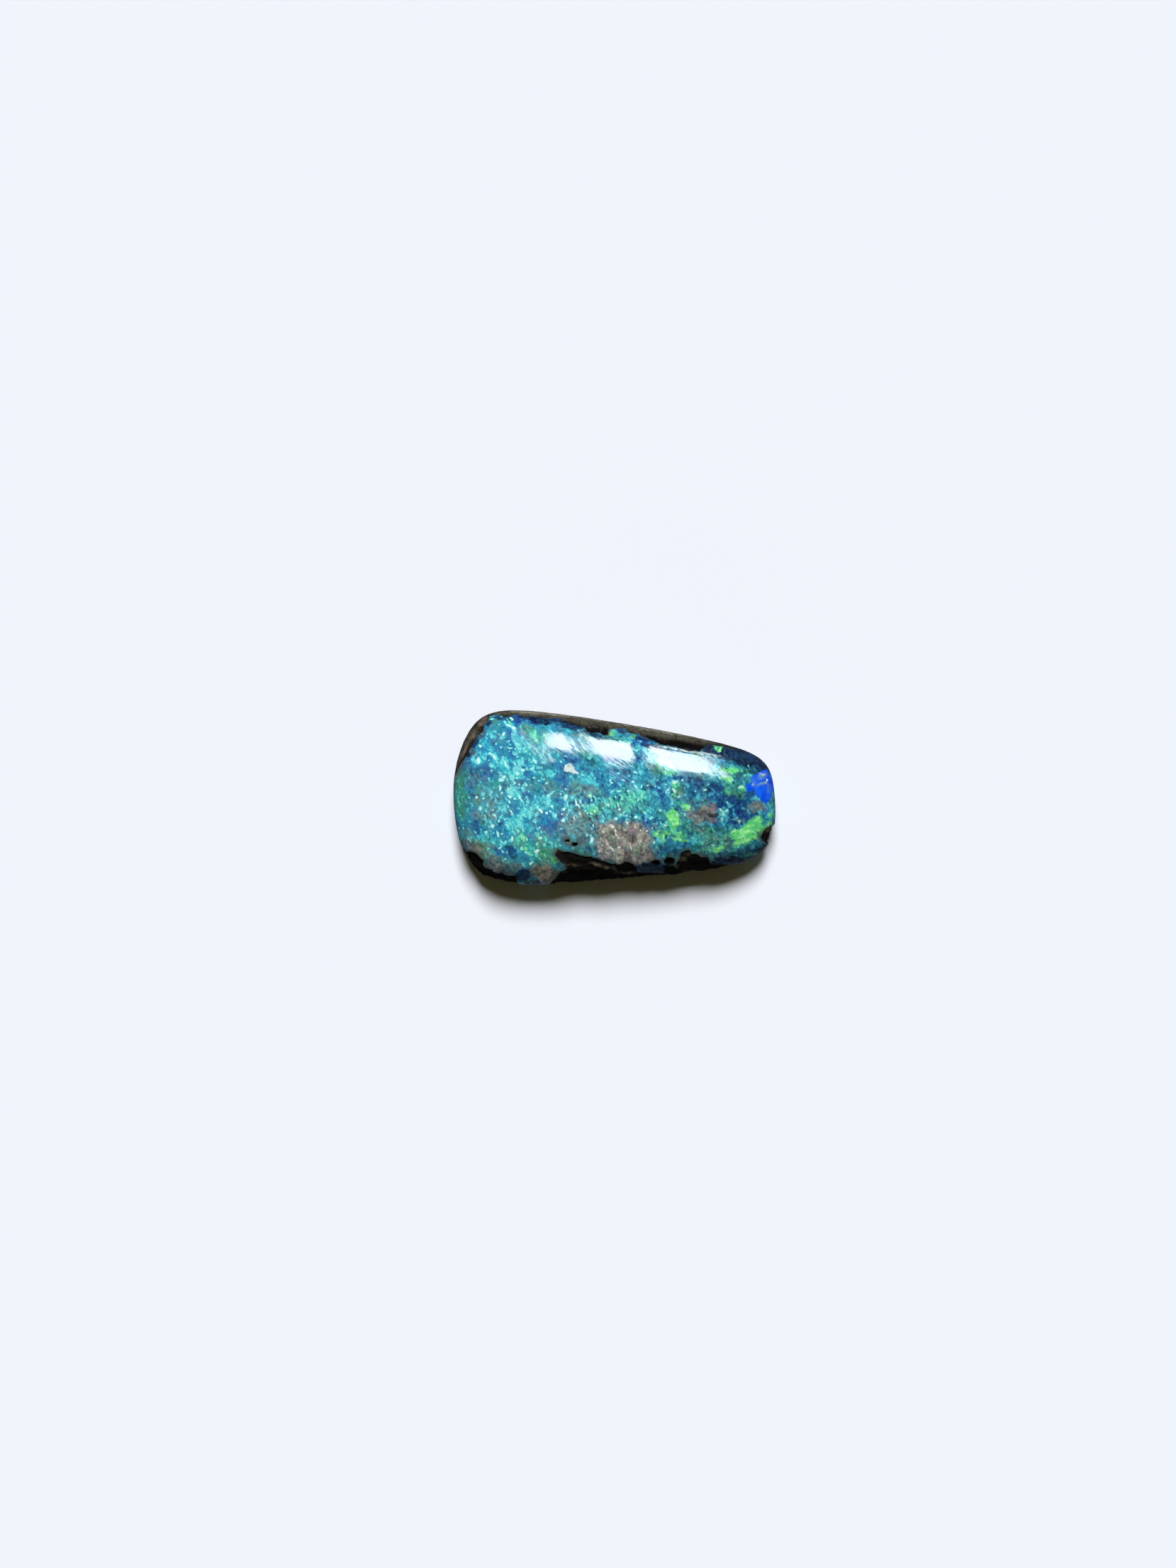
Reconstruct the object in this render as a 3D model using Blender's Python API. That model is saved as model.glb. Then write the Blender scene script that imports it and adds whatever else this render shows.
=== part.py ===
"""Pipe opal: one loose, polished natural stone, lying on its flat ground base.

The stone is a freeform cabochon. A pipe of opal runs along its length and is
exposed over the whole domed face and at both ends. The brown-black ironstone
that the pipe grew in is left along both long flanks and under the base. Opal
and ironstone grew together, so the stone is one solid.

Frame: +X along the stone's length, +Y across it, +Z up out of the domed face.
The origin is the middle of the bounding box in plan, on the ground base, and
z = 0 is the plane that the stone lies on. Lengths below are in millimetres
and are turned into metres when the points are placed.
"""

import math

import bmesh
import bpy

MM = 0.001

# ---------------------------------------------------------------- dimensions
# Plan outline at the girdle: a rounded polygon. Each side is given by the
# direction that it faces (degrees, from +X towards +Y) and by its distance
# from the middle of the stone.
OUTLINE_SIDES = (
    (84.2, 4.47),  # long upper side, its part at the broad end
    (75.8, 4.49),  # and its part that runs down towards the narrow end
    (5.3, 8.91),  # narrow end
    (-58.3, 7.38),  # shoulder of the narrow end, lower
    (-86.0, 4.68),  # long lower side
    (236.5, 8.50),  # corner of the broad end, lower
    (187.6, 9.09),  # broad end
    (141.4, 9.00),  # corner of the broad end, upper
)
CORNER_SHARPNESS = 8.5  # higher gives straighter sides and tighter corners

# Level lines of the crown turn from the outline into this ellipse near the top.
CROWN_CORE_LONG = 8.7
CROWN_CORE_WIDE = 4.55
CROWN_CORE_TURN = -1.6  # degrees

GIRDLE_HEIGHT = 1.05  # widest level above the base
CROWN_HEIGHT = 2.38  # top of the dome above the girdle
CROWN_FALL = 0.020  # the dome is lower towards the narrow end, per mm of X
CROWN_ARCH = 0.0035  # and arches along the length, per mm squared
CROWN_FLATNESS = 3.6  # power of the crown's section across the stone ...
FLATNESS_RADIUS = 4.7  # ... where the outline is this far from the middle,
FLATNESS_GROWTH = 0.85  # growing with this power of that distance
CROWN_SHOULDER = 2.3  # root of the crown's section
BASE_FRACTION = 0.86  # the flat base against the girdle outline
UNDERCUT_TURN = 65.0  # degrees that the section turns through under the girdle

# Shallow waves that hand polishing leaves in the face: wavelength along X,
# wavelength along Y (signed, to set the slant), phase in degrees, height.
POLISH_WAVES = (
    (7.4, 6.1, 20.0, 0.022),
    (4.3, -9.0, 200.0, 0.016),
    (11.5, 5.2, 95.0, 0.020),
)
WAVES_TURN_OVER = 1.36  # along the far side the waves fade out and rise again, upside down
# Shallow steps that the polishing left across the dome: middle along X at
# Y = 2, width, rise towards the narrow end, shift along X per millimetre of Y.
POLISH_STEPS = (
    (-4.48, 1.82, 0.051, 0.20),
    (-1.57, 1.86, 0.139, 0.43),
    (1.55, 1.58, 0.148, 0.22),
)
NARROW_END_FALL = 0.108  # the far side falls away by this much towards the narrow end

# Hollows along the flanks, where ironstone has broken away under the opal:
# (x from, x to, height from, height to, depth)
FLANK_HOLLOWS_LOWER = (
    (-8.4, -5.5, 0.55, 2.30, 0.14),
    (-3.6, 2.8, 0.75, 2.70, 0.17),
    (2.6, 5.8, 0.65, 2.60, 0.15),
)
FLANK_HOLLOWS_UPPER = ((-2.1, -0.3, 1.70, 2.90, 0.09),)
HOLLOW_EDGE = 0.60  # width over which a hollow fades out

SEGMENTS = 144  # round the outline
CROWN_ROWS = 20  # rows of faces from the top of the dome to the girdle
UNDER_ROWS = 5  # rows of faces from the girdle to the edge of the base
BASE_ROWS = 2  # rows of faces in the flat base

# Height above the base down to which opal shows, on the long flanks and at the
# two ends, for the plain two-colour finish of this model.
OPAL_DOWN_TO_FLANK = 2.55
OPAL_DOWN_TO_END = 0.70

OPAL_COLOUR = (0.045, 0.245, 0.345, 1.0)
IRONSTONE_COLOUR = (0.060, 0.042, 0.030, 1.0)


# ------------------------------------------------------------------ outline
def outline_radius(turn):
    """Distance from the middle to the girdle outline, in direction turn."""
    total = 0.0
    for facing, distance in OUTLINE_SIDES:
        lean = math.cos(turn - math.radians(facing))
        if lean > 0.0:
            total += (lean / distance) ** CORNER_SHARPNESS
    return total ** (-1.0 / CORNER_SHARPNESS)


def core_radius(turn):
    """The same for the ellipse that the crown's level lines settle into."""
    own = turn - math.radians(CROWN_CORE_TURN)
    along = math.cos(own) / CROWN_CORE_LONG
    across = math.sin(own) / CROWN_CORE_WIDE
    return 1.0 / math.sqrt(along * along + across * across)


# ------------------------------------------------------------------ section
def crown_height_at(turn, fraction):
    """Height of the crown above the base, in direction turn, at a fraction of the outline."""
    radius = outline_radius(turn)
    x = fraction * radius * math.cos(turn)
    top = CROWN_HEIGHT - CROWN_FALL * x - CROWN_ARCH * x * x
    power = CROWN_FLATNESS * (radius / FLATNESS_RADIUS) ** FLATNESS_GROWTH
    rest = max(0.0, 1.0 - fraction**power)
    return GIRDLE_HEIGHT + top * rest ** (1.0 / CROWN_SHOULDER)


def crown_section(turn, rows):
    """(fraction, height) from the top of the dome to the girdle, evenly spaced along the curve."""
    fine = 400
    curve = []
    for i in range(fine + 1):
        # Closer steps towards the girdle, where the section is steep.
        fraction = 1.0 - (1.0 - i / fine) ** 2.5
        curve.append((fraction, crown_height_at(turn, fraction)))
    return evenly_spaced(curve, rows, outline_radius(turn))


def under_section(rows):
    """(fraction, height) from the girdle to the edge of the flat base."""
    last = math.radians(UNDERCUT_TURN)
    curve = []
    for i in range(rows + 1):
        turn = last * i / rows
        down = math.sin(turn) / math.sin(last)
        inward = (math.cos(turn) - math.cos(last)) / (1.0 - math.cos(last))
        fraction = BASE_FRACTION + (1.0 - BASE_FRACTION) * inward
        curve.append((fraction, GIRDLE_HEIGHT * (1.0 - down)))
    return curve


def evenly_spaced(curve, rows, radius):
    """Points at even steps along a section curve, whose fractions are of this radius."""
    lengths = [0.0]
    for (f0, z0), (f1, z1) in zip(curve, curve[1:]):
        lengths.append(lengths[-1] + math.hypot((f1 - f0) * radius, z1 - z0))
    points = []
    at = 0
    for row in range(rows + 1):
        wanted = lengths[-1] * row / rows
        while at < len(lengths) - 2 and lengths[at + 1] < wanted:
            at += 1
        span = lengths[at + 1] - lengths[at]
        part = (wanted - lengths[at]) / span if span else 0.0
        (f0, z0), (f1, z1) = curve[at], curve[at + 1]
        points.append((f0 + (f1 - f0) * part, z0 + (z1 - z0) * part))
    return points


# ------------------------------------------------------------------- relief
def soft_step(value, low, high):
    part = min(1.0, max(0.0, (value - low) / (high - low)))
    return part * part * (3.0 - 2.0 * part)


def window(value, low, high):
    """1 between low and high, fading to 0 over HOLLOW_EDGE inside each end."""
    return soft_step(value, low, low + HOLLOW_EDGE) * (
        1.0 - soft_step(value, high - HOLLOW_EDGE, high)
    )


def polish_relief(x, y):
    """What hand polishing left in the face: shallow waves, and steps that slope gently back between them."""
    waves = 0.0
    for along, across, phase, size in POLISH_WAVES:
        turn = math.tau * (x / along + y / across) + math.radians(phase)
        waves += size * math.sin(turn)
    steps = -sum(step[2] for step in POLISH_STEPS) * (x + 8.0) / 16.0
    for middle, width, rise, slant in POLISH_STEPS:
        along = x - middle + slant * (y - 2.0)
        steps += rise * soft_step(along, -width / 2.0, width / 2.0)
    steps -= NARROW_END_FALL * soft_step(y, 1.02, 2.01) * soft_step(x, 1.16, 6.27)
    waves *= 1.0 - WAVES_TURN_OVER * soft_step(y, -0.8, 1.6)
    return waves + steps * soft_step(y, -2.6, 0.6)


def flank_hollow(x, y, z):
    """How far a point of a long flank is set back, in millimetres."""
    hollows = FLANK_HOLLOWS_LOWER if y < 0.0 else FLANK_HOLLOWS_UPPER
    depth = 0.0
    for x_from, x_to, z_from, z_to, deep in hollows:
        depth = max(depth, deep * window(x, x_from, x_to) * window(z, z_from, z_to))
    return depth


# -------------------------------------------------------------------- stone
def stone_point(turn, fraction, height, on_crown):
    """A point of the stone's surface, in millimetres, before centring."""
    blend = min(1.0, fraction) ** 2
    radius = fraction * (
        core_radius(turn) * (1.0 - blend) + outline_radius(turn) * blend
    )
    x, y, z = radius * math.cos(turn), radius * math.sin(turn), height
    if on_crown:
        z += polish_relief(x, y) * (1.0 - fraction**6)
    back = flank_hollow(x, y, z) if fraction > 0.6 and height > 0.0 else 0.0
    length = math.hypot(x, y)
    if length > 0.0:
        x -= back * x / length * 0.25
        y -= back * y / length
    return x, y, z


def build_stone():
    under = under_section(UNDER_ROWS)[1:]
    base_edge = under[-1][0]
    base = [(base_edge * (1.0 - i / BASE_ROWS), 0.0) for i in range(1, BASE_ROWS + 1)]
    rows = CROWN_ROWS + UNDER_ROWS + BASE_ROWS
    sections = {}

    bm = bmesh.new()
    # A ball has the stone's topology: its rows become the section's rows.
    bmesh.ops.create_uvsphere(bm, u_segments=SEGMENTS, v_segments=rows, radius=1.0)
    places = {}
    for vert in bm.verts:
        polar = math.acos(max(-1.0, min(1.0, vert.co.z)))
        row = round(polar / math.pi * rows)
        turn = math.atan2(vert.co.y, vert.co.x)
        step = round(turn / math.tau * SEGMENTS) % SEGMENTS
        if step not in sections:
            sections[step] = crown_section(turn, CROWN_ROWS) + under + base
        fraction, height = sections[step][row]
        places[vert] = stone_point(turn, fraction, height, row < CROWN_ROWS)
    low_x = min(p[0] for p in places.values())
    high_x = max(p[0] for p in places.values())
    low_y = min(p[1] for p in places.values())
    high_y = max(p[1] for p in places.values())
    middle_x, middle_y = (low_x + high_x) / 2.0, (low_y + high_y) / 2.0
    for vert, (x, y, z) in places.items():
        vert.co = ((x - middle_x) * MM, (y - middle_y) * MM, z * MM)

    # Opal over the face and both ends, ironstone down the long flanks and below.
    for face in bm.faces:
        middle = face.calc_center_median()
        turn = math.atan2(middle.y, middle.x)
        endwise = soft_step(abs(math.cos(turn)), 0.90, 0.99)
        limit = OPAL_DOWN_TO_FLANK + (OPAL_DOWN_TO_END - OPAL_DOWN_TO_FLANK) * endwise
        face.material_index = 0 if middle.z > limit * MM else 1
        face.smooth = middle.z > 1e-6
    bmesh.ops.recalc_face_normals(bm, faces=bm.faces)

    mesh = bpy.data.meshes.new("pipe_opal")
    bm.to_mesh(mesh)
    bm.free()
    return mesh


def plain_material(name, colour, roughness):
    material = bpy.data.materials.new(name)
    material.use_nodes = True
    shader = material.node_tree.nodes["Principled BSDF"]
    shader.inputs["Base Color"].default_value = colour
    shader.inputs["Roughness"].default_value = roughness
    shader.inputs["Metallic"].default_value = 0.0
    material.diffuse_color = colour
    return material


def main():
    for old in list(bpy.data.objects):
        bpy.data.objects.remove(old, do_unlink=True)

    mesh = build_stone()
    mesh.materials.append(plain_material("opal", OPAL_COLOUR, 0.12))
    mesh.materials.append(plain_material("ironstone", IRONSTONE_COLOUR, 0.45))
    stone = bpy.data.objects.new("pipe_opal", mesh)
    bpy.context.scene.collection.objects.link(stone)
    mesh.set_sharp_from_angle(angle=math.radians(50.0))


main()
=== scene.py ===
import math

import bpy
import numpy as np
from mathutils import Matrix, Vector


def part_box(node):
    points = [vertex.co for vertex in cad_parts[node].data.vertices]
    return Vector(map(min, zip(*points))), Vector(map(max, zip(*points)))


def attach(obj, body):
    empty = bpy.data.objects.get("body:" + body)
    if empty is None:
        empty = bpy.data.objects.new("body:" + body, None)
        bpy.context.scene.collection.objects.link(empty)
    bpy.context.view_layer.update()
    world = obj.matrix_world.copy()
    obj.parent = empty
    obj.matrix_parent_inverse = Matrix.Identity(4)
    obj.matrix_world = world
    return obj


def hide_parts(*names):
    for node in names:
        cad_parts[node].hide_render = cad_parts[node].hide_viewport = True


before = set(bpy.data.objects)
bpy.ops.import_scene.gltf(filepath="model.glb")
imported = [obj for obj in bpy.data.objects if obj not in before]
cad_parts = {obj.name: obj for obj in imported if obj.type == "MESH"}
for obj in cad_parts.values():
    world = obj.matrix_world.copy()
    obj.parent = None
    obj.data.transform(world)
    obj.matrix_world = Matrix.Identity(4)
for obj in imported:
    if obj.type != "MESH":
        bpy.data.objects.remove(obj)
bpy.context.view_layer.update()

# The finished look of the pipe opal: one polished stone, lying on its flat base.
#
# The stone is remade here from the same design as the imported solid, with a fine
# mesh: the same outline, dome and undercut, plus the broken ironstone along the
# lower flank, the step where the opal stands proud of it, pits, and a crack.
#
# Lengths are in millimetres until they are handed to Blender. Places that were
# read off the photograph are given as its pixels (1659 x 2212, y downwards) and
# are laid onto the surface through the same camera that this script makes.

MM = 0.001

# ------------------------------------------------------------------ the stone
OUTLINE_SIDES = (
    (84.2, 4.47), (75.8, 4.49), (5.3, 8.91), (-58.3, 7.38),
    (-86.0, 4.68), (236.5, 8.50), (187.6, 9.09), (141.4, 9.00),
)
CORNER_SHARPNESS = 8.5
CROWN_CORE_LONG = 8.7
CROWN_CORE_WIDE = 4.55
CROWN_CORE_TURN = -1.6
GIRDLE_HEIGHT = 1.05
CROWN_HEIGHT = 2.38
CROWN_FALL = 0.020
CROWN_ARCH = 0.0035
CROWN_FLATNESS = 3.6
FLATNESS_RADIUS = 4.7
FLATNESS_GROWTH = 0.85
CROWN_SHOULDER = 2.3
BASE_FRACTION = 0.86
UNDERCUT_TURN = 65.0
POLISH_WAVES = (
    (7.4, 6.1, 20.0, 0.022),
    (4.3, -9.0, 200.0, 0.016),
    (11.5, 5.2, 95.0, 0.020),
)
WAVES_TURN_OVER = 1.36  # along the far side the waves fade out and rise again, upside down
# Shallow steps that the polishing left across the dome, which break up its reflections: middle
# along X at Y = 2, width, rise towards the narrow end, shift along X per millimetre of Y.
POLISH_STEPS = (
    (-4.48, 1.82, 0.051, 0.20),
    (-1.57, 1.86, 0.139, 0.43),
    (1.55, 1.58, 0.148, 0.22),
)
NARROW_END_FALL = 0.108  # the far side falls away by this much towards the narrow end
FLANK_HOLLOWS_LOWER = (
    (-8.4, -5.5, 0.55, 2.30, 0.14),
    (-3.6, 2.8, 0.75, 2.70, 0.17),
    (2.6, 5.8, 0.65, 2.60, 0.15),
)
FLANK_HOLLOWS_UPPER = ((-2.1, -0.3, 1.70, 2.90, 0.09),)
HOLLOW_EDGE = 0.60

# The fine mesh: an even grid over the middle of the dome, and rings round it.
LONG_CELLS = 264
SHORT_CELLS = 110
GRID_CORNERS = (24.0, 146.0, 211.0, 333.0)  # directions of the grid's corners
RING_WIDTH = 2.3  # from the grid's edge to the girdle, seen from above
CROWN_RINGS = 66
UNDER_RINGS = 20
BASE_FRACTIONS = (0.80, 0.70, 0.55)

# ----------------------------------------------------------------- the camera
MM_PER_PIXEL = 18.0 / 454.5
CAMERA_DISTANCE = 110.0
CAMERA_LEAN = 8.0  # degrees off straight down, towards the lower flank
STONE_PIXEL = (866.6, 1124.6)  # where the stone's middle is in the photograph
PICTURE = (1659.0, 2212.0)
SENSOR = 36.0

lean = math.radians(CAMERA_LEAN)
AIM = np.array((
    -(STONE_PIXEL[0] - PICTURE[0] / 2.0) * MM_PER_PIXEL,
    (STONE_PIXEL[1] - PICTURE[1] / 2.0) * MM_PER_PIXEL / math.cos(lean),
    1.2,
))
EYE = AIM + CAMERA_DISTANCE * np.array((0.0, -math.sin(lean), math.cos(lean)))
FORWARD = (AIM - EYE) / CAMERA_DISTANCE
RIGHT = np.array((1.0, 0.0, 0.0))
UP = np.cross(RIGHT, FORWARD)
FOCAL_PIXELS = CAMERA_DISTANCE / MM_PER_PIXEL


def to_picture(points):
    """Photograph pixels of points of the stone, in millimetres."""
    away = points - EYE
    depth = away @ FORWARD
    return np.stack((
        PICTURE[0] / 2.0 + FOCAL_PIXELS * (away @ RIGHT) / depth,
        PICTURE[1] / 2.0 - FOCAL_PIXELS * (away @ UP) / depth,
    ), axis=-1)


def make_camera():
    data = bpy.data.cameras.new("photo_camera")
    data.sensor_width = SENSOR
    data.lens = FOCAL_PIXELS * SENSOR / PICTURE[1]
    data.clip_start, data.clip_end = 0.001, 20.0
    data.dof.use_dof = False
    camera = bpy.data.objects.new("photo_camera", data)
    bpy.context.scene.collection.objects.link(camera)
    turn = Matrix((RIGHT, UP, -FORWARD)).transposed()
    camera.matrix_world = Matrix.Translation(Vector(EYE * MM)) @ turn.to_4x4()
    bpy.context.scene.camera = camera


# ---------------------------------------------------------------------- noise
def lattice(ix, iy, iz, seed):
    mixed = (ix * 374761393 + iy * 668265263 + iz * 1442695041 + seed * 1274126177) & 0xFFFFFFFF
    mixed = ((mixed ^ (mixed >> 13)) * 1274126177) & 0xFFFFFFFF
    return ((mixed ^ (mixed >> 16)) & 0xFFFF) / 65535.0


def plain_noise(points, seed):
    cell = np.floor(points).astype(np.int64)
    part = points - cell
    part = part * part * part * (part * (part * 6.0 - 15.0) + 10.0)
    total = np.zeros(len(points))
    for dx in (0, 1):
        for dy in (0, 1):
            for dz in (0, 1):
                weight = (
                    (part[:, 0] if dx else 1.0 - part[:, 0])
                    * (part[:, 1] if dy else 1.0 - part[:, 1])
                    * (part[:, 2] if dz else 1.0 - part[:, 2])
                )
                total += weight * lattice(cell[:, 0] + dx, cell[:, 1] + dy, cell[:, 2] + dz, seed)
    return total


def noise(points, size, seed, octaves=3, fade=0.5):
    """Smooth noise from -1 to 1, whose largest lumps are about this size in millimetres."""
    total, weight, sum_of_weights = 0.0, 1.0, 0.0
    for octave in range(octaves):
        total = total + weight * (2.0 * plain_noise(points * (2.0**octave / size) + 17.3 * octave, seed + octave) - 1.0)
        sum_of_weights += weight
        weight *= fade
    return np.clip(1.7 * total / sum_of_weights, -1.0, 1.0)


def ease(value, low, high):
    """0 below low and 1 above high, with a smooth step between; low may be the larger."""
    part = np.clip((value - low) / (high - low), 0.0, 1.0)
    return part * part * (3.0 - 2.0 * part)


# --------------------------------------------------------------- stone's form
def outline_radius(turn):
    total = np.zeros_like(turn)
    for facing, distance in OUTLINE_SIDES:
        total += (np.maximum(np.cos(turn - math.radians(facing)), 0.0) / distance) ** CORNER_SHARPNESS
    return total ** (-1.0 / CORNER_SHARPNESS)


def core_radius(turn):
    own = turn - math.radians(CROWN_CORE_TURN)
    return 1.0 / np.hypot(np.cos(own) / CROWN_CORE_LONG, np.sin(own) / CROWN_CORE_WIDE)


def crown_height_at(turn, fraction):
    radius = outline_radius(turn)
    x = fraction * radius * np.cos(turn)
    top = CROWN_HEIGHT - CROWN_FALL * x - CROWN_ARCH * x * x
    power = CROWN_FLATNESS * (radius / FLATNESS_RADIUS) ** FLATNESS_GROWTH
    rest = np.maximum(0.0, 1.0 - fraction**power)
    return GIRDLE_HEIGHT + top * rest ** (1.0 / CROWN_SHOULDER)


def polish_relief(x, y):
    """What hand polishing left in the face: shallow waves, and steps that slope gently back between them."""
    waves = np.zeros_like(x)
    for along, across, phase, size in POLISH_WAVES:
        waves += size * np.sin(math.tau * (x / along + y / across) + math.radians(phase))
    steps = -sum(step[2] for step in POLISH_STEPS) * (x + 8.0) / 16.0
    for middle, width, rise, slant in POLISH_STEPS:
        steps = steps + rise * ease(x - middle + slant * (y - 2.0), -width / 2.0, width / 2.0)
    steps -= NARROW_END_FALL * ease(y, 1.02, 2.01) * ease(x, 1.16, 6.27)
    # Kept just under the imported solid's top.
    return -0.006 + waves * (1.0 - WAVES_TURN_OVER * ease(y, -0.8, 1.6)) + steps * ease(y, -2.6, 0.6)


def flank_hollow(x, y, z):
    depth = np.zeros_like(x)
    for side, hollows in ((-1.0, FLANK_HOLLOWS_LOWER), (1.0, FLANK_HOLLOWS_UPPER)):
        for x_from, x_to, z_from, z_to, deep in hollows:
            here = deep
            for value, low, high in ((x, x_from, x_to), (z, z_from, z_to)):
                here = here * ease(value, low, low + HOLLOW_EDGE) * (1.0 - ease(value, high - HOLLOW_EDGE, high))
            depth = np.maximum(depth, np.where(side * y >= 0.0, here, 0.0))
    return depth


def stone_points(turn, fraction, height, on_crown):
    blend = np.minimum(1.0, fraction) ** 2
    radius = fraction * (core_radius(turn) * (1.0 - blend) + outline_radius(turn) * blend)
    x, y, z = radius * np.cos(turn), radius * np.sin(turn), np.array(height, float)
    if on_crown:
        z = z + polish_relief(x, y) * (1.0 - fraction**6)
    back = np.where((fraction > 0.6) & (z > 0.0), flank_hollow(x, y, z), 0.0)
    length = np.maximum(np.hypot(x, y), 1e-9)
    return np.stack((x - back * x / length * 0.25, y - back * y / length, z), axis=-1)


def side_turns(start, end, cells):
    """Directions from start to end (degrees) at even steps along the outline."""
    turn = np.radians(np.linspace(start, end, 4001))
    radius = outline_radius(turn)
    x, y = radius * np.cos(turn), radius * np.sin(turn)
    along = np.concatenate(((0.0,), np.cumsum(np.hypot(np.diff(x), np.diff(y)))))
    return np.interp(np.linspace(0.0, along[-1], cells + 1), along, turn)[:-1]


def crown_rings(turn, inner):
    """Fractions from the grid's edge to the girdle, at even steps along each section."""
    steps = 1.0 - (1.0 - np.linspace(0.0, 1.0, 301)) ** 2.5
    rows = np.zeros((CROWN_RINGS, len(turn)))
    for i, (t, low) in enumerate(zip(turn, inner)):
        fraction = low + (1.0 - low) * steps
        direction = np.full_like(fraction, t)
        height = crown_height_at(direction, fraction)
        length = np.hypot(np.diff(fraction * outline_radius(direction)), np.diff(height))
        along = np.concatenate(((0.0,), np.cumsum(length)))
        rows[:, i] = np.interp(np.linspace(0.0, along[-1], CROWN_RINGS + 1), along, fraction)[1:]
    return rows


def stone_form():
    """The smooth stone: points, faces, each point's ring (0 in the grid) and direction."""
    a, b, c, d = GRID_CORNERS
    turn = np.concatenate((
        side_turns(a, b, LONG_CELLS), side_turns(b, c, SHORT_CELLS),
        side_turns(c, d, LONG_CELLS), side_turns(d, a + 360.0, SHORT_CELLS),
    ))
    ring_size = len(turn)
    inner = 1.0 - RING_WIDTH / outline_radius(turn)

    # The grid over the middle of the dome, seen from above, between its four edges.
    edge = stone_points(turn, inner, crown_height_at(turn, inner), True)[:, :2]
    top = edge[: LONG_CELLS + 1][::-1]
    left = edge[LONG_CELLS : LONG_CELLS + SHORT_CELLS + 1][::-1]
    bottom = edge[LONG_CELLS + SHORT_CELLS : 2 * LONG_CELLS + SHORT_CELLS + 1]
    right = np.concatenate((edge[2 * LONG_CELLS + SHORT_CELLS :], edge[:1]))
    u = np.linspace(0.0, 1.0, LONG_CELLS + 1)[:, None, None]
    v = np.linspace(0.0, 1.0, SHORT_CELLS + 1)[None, :, None]
    grid = (
        (1 - v) * bottom[:, None] + v * top[:, None] + (1 - u) * left[None] + u * right[None]
        - (1 - u) * (1 - v) * bottom[0] - u * (1 - v) * bottom[-1] - (1 - u) * v * top[0] - u * v * top[-1]
    ).reshape(-1, 2)
    grid_turn = np.arctan2(grid[:, 1], grid[:, 0])
    reach = np.hypot(grid[:, 0], grid[:, 1])
    core, outer = core_radius(grid_turn), outline_radius(grid_turn)
    fraction = reach / core
    for _ in range(8):
        fraction = fraction - (core * fraction + (outer - core) * fraction**3 - reach) / (
            core + 3.0 * (outer - core) * fraction**2
        )
    relief = polish_relief(grid[:, 0], grid[:, 1])
    height = crown_height_at(grid_turn, fraction) + relief * (1.0 - fraction**6)
    points = [np.column_stack((grid, height))]
    turns, rings, fractions = [grid_turn], [np.zeros(len(grid), int)], [fraction]

    def number(i, j):
        return i * (SHORT_CELLS + 1) + j

    i, j = np.meshgrid(np.arange(LONG_CELLS), np.arange(SHORT_CELLS), indexing="ij")
    faces = [np.stack((number(i, j), number(i + 1, j), number(i + 1, j + 1), number(i, j + 1)), -1).reshape(-1, 4)]
    long_way, short_way = np.arange(LONG_CELLS), np.arange(SHORT_CELLS)
    last = np.concatenate((
        number(LONG_CELLS - long_way, SHORT_CELLS), number(0, SHORT_CELLS - short_way),
        number(long_way, 0), number(LONG_CELLS, short_way),
    ))

    count = len(grid)
    under_turn = np.radians(UNDERCUT_TURN) * np.arange(1, UNDER_RINGS + 1) / UNDER_RINGS
    end = math.radians(UNDERCUT_TURN)
    under_fraction = BASE_FRACTION + (1.0 - BASE_FRACTION) * (np.cos(under_turn) - math.cos(end)) / (1.0 - math.cos(end))
    under_height = GIRDLE_HEIGHT * (1.0 - np.sin(under_turn) / math.sin(end))
    rows = [(row, crown_height_at(turn, row), True) for row in crown_rings(turn, inner)]
    rows += [(np.full(ring_size, f), np.full(ring_size, max(0.0, h)), False) for f, h in zip(under_fraction, under_height)]
    rows += [(np.full(ring_size, f), np.zeros(ring_size), False) for f in BASE_FRACTIONS]
    for index, (row, high, on_crown) in enumerate(rows):
        points.append(stone_points(turn, row, high, on_crown and index < CROWN_RINGS - 1))
        turns.append(turn)
        rings.append(np.full(ring_size, index + 1))
        fractions.append(row)
        here = count + np.arange(ring_size)
        faces.append(np.stack((last, here, np.roll(here, -1), np.roll(last, -1)), -1))
        last, count = here, count + ring_size

    points = np.concatenate(points)
    points[:, :2] -= (points[:, :2].min(0) + points[:, :2].max(0)) / 2.0
    return (
        points, np.concatenate(faces), last, np.concatenate(rings), np.concatenate(turns), np.concatenate(fractions)
    )


def point_normals(points, faces):
    corners = points[faces]
    face_normal = np.cross(corners[:, 2] - corners[:, 0], corners[:, 3] - corners[:, 1])
    normal = np.zeros_like(points)
    for corner in range(4):
        np.add.at(normal, faces[:, corner], face_normal)
    return normal / np.maximum(np.linalg.norm(normal, axis=1, keepdims=True), 1e-12)


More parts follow.
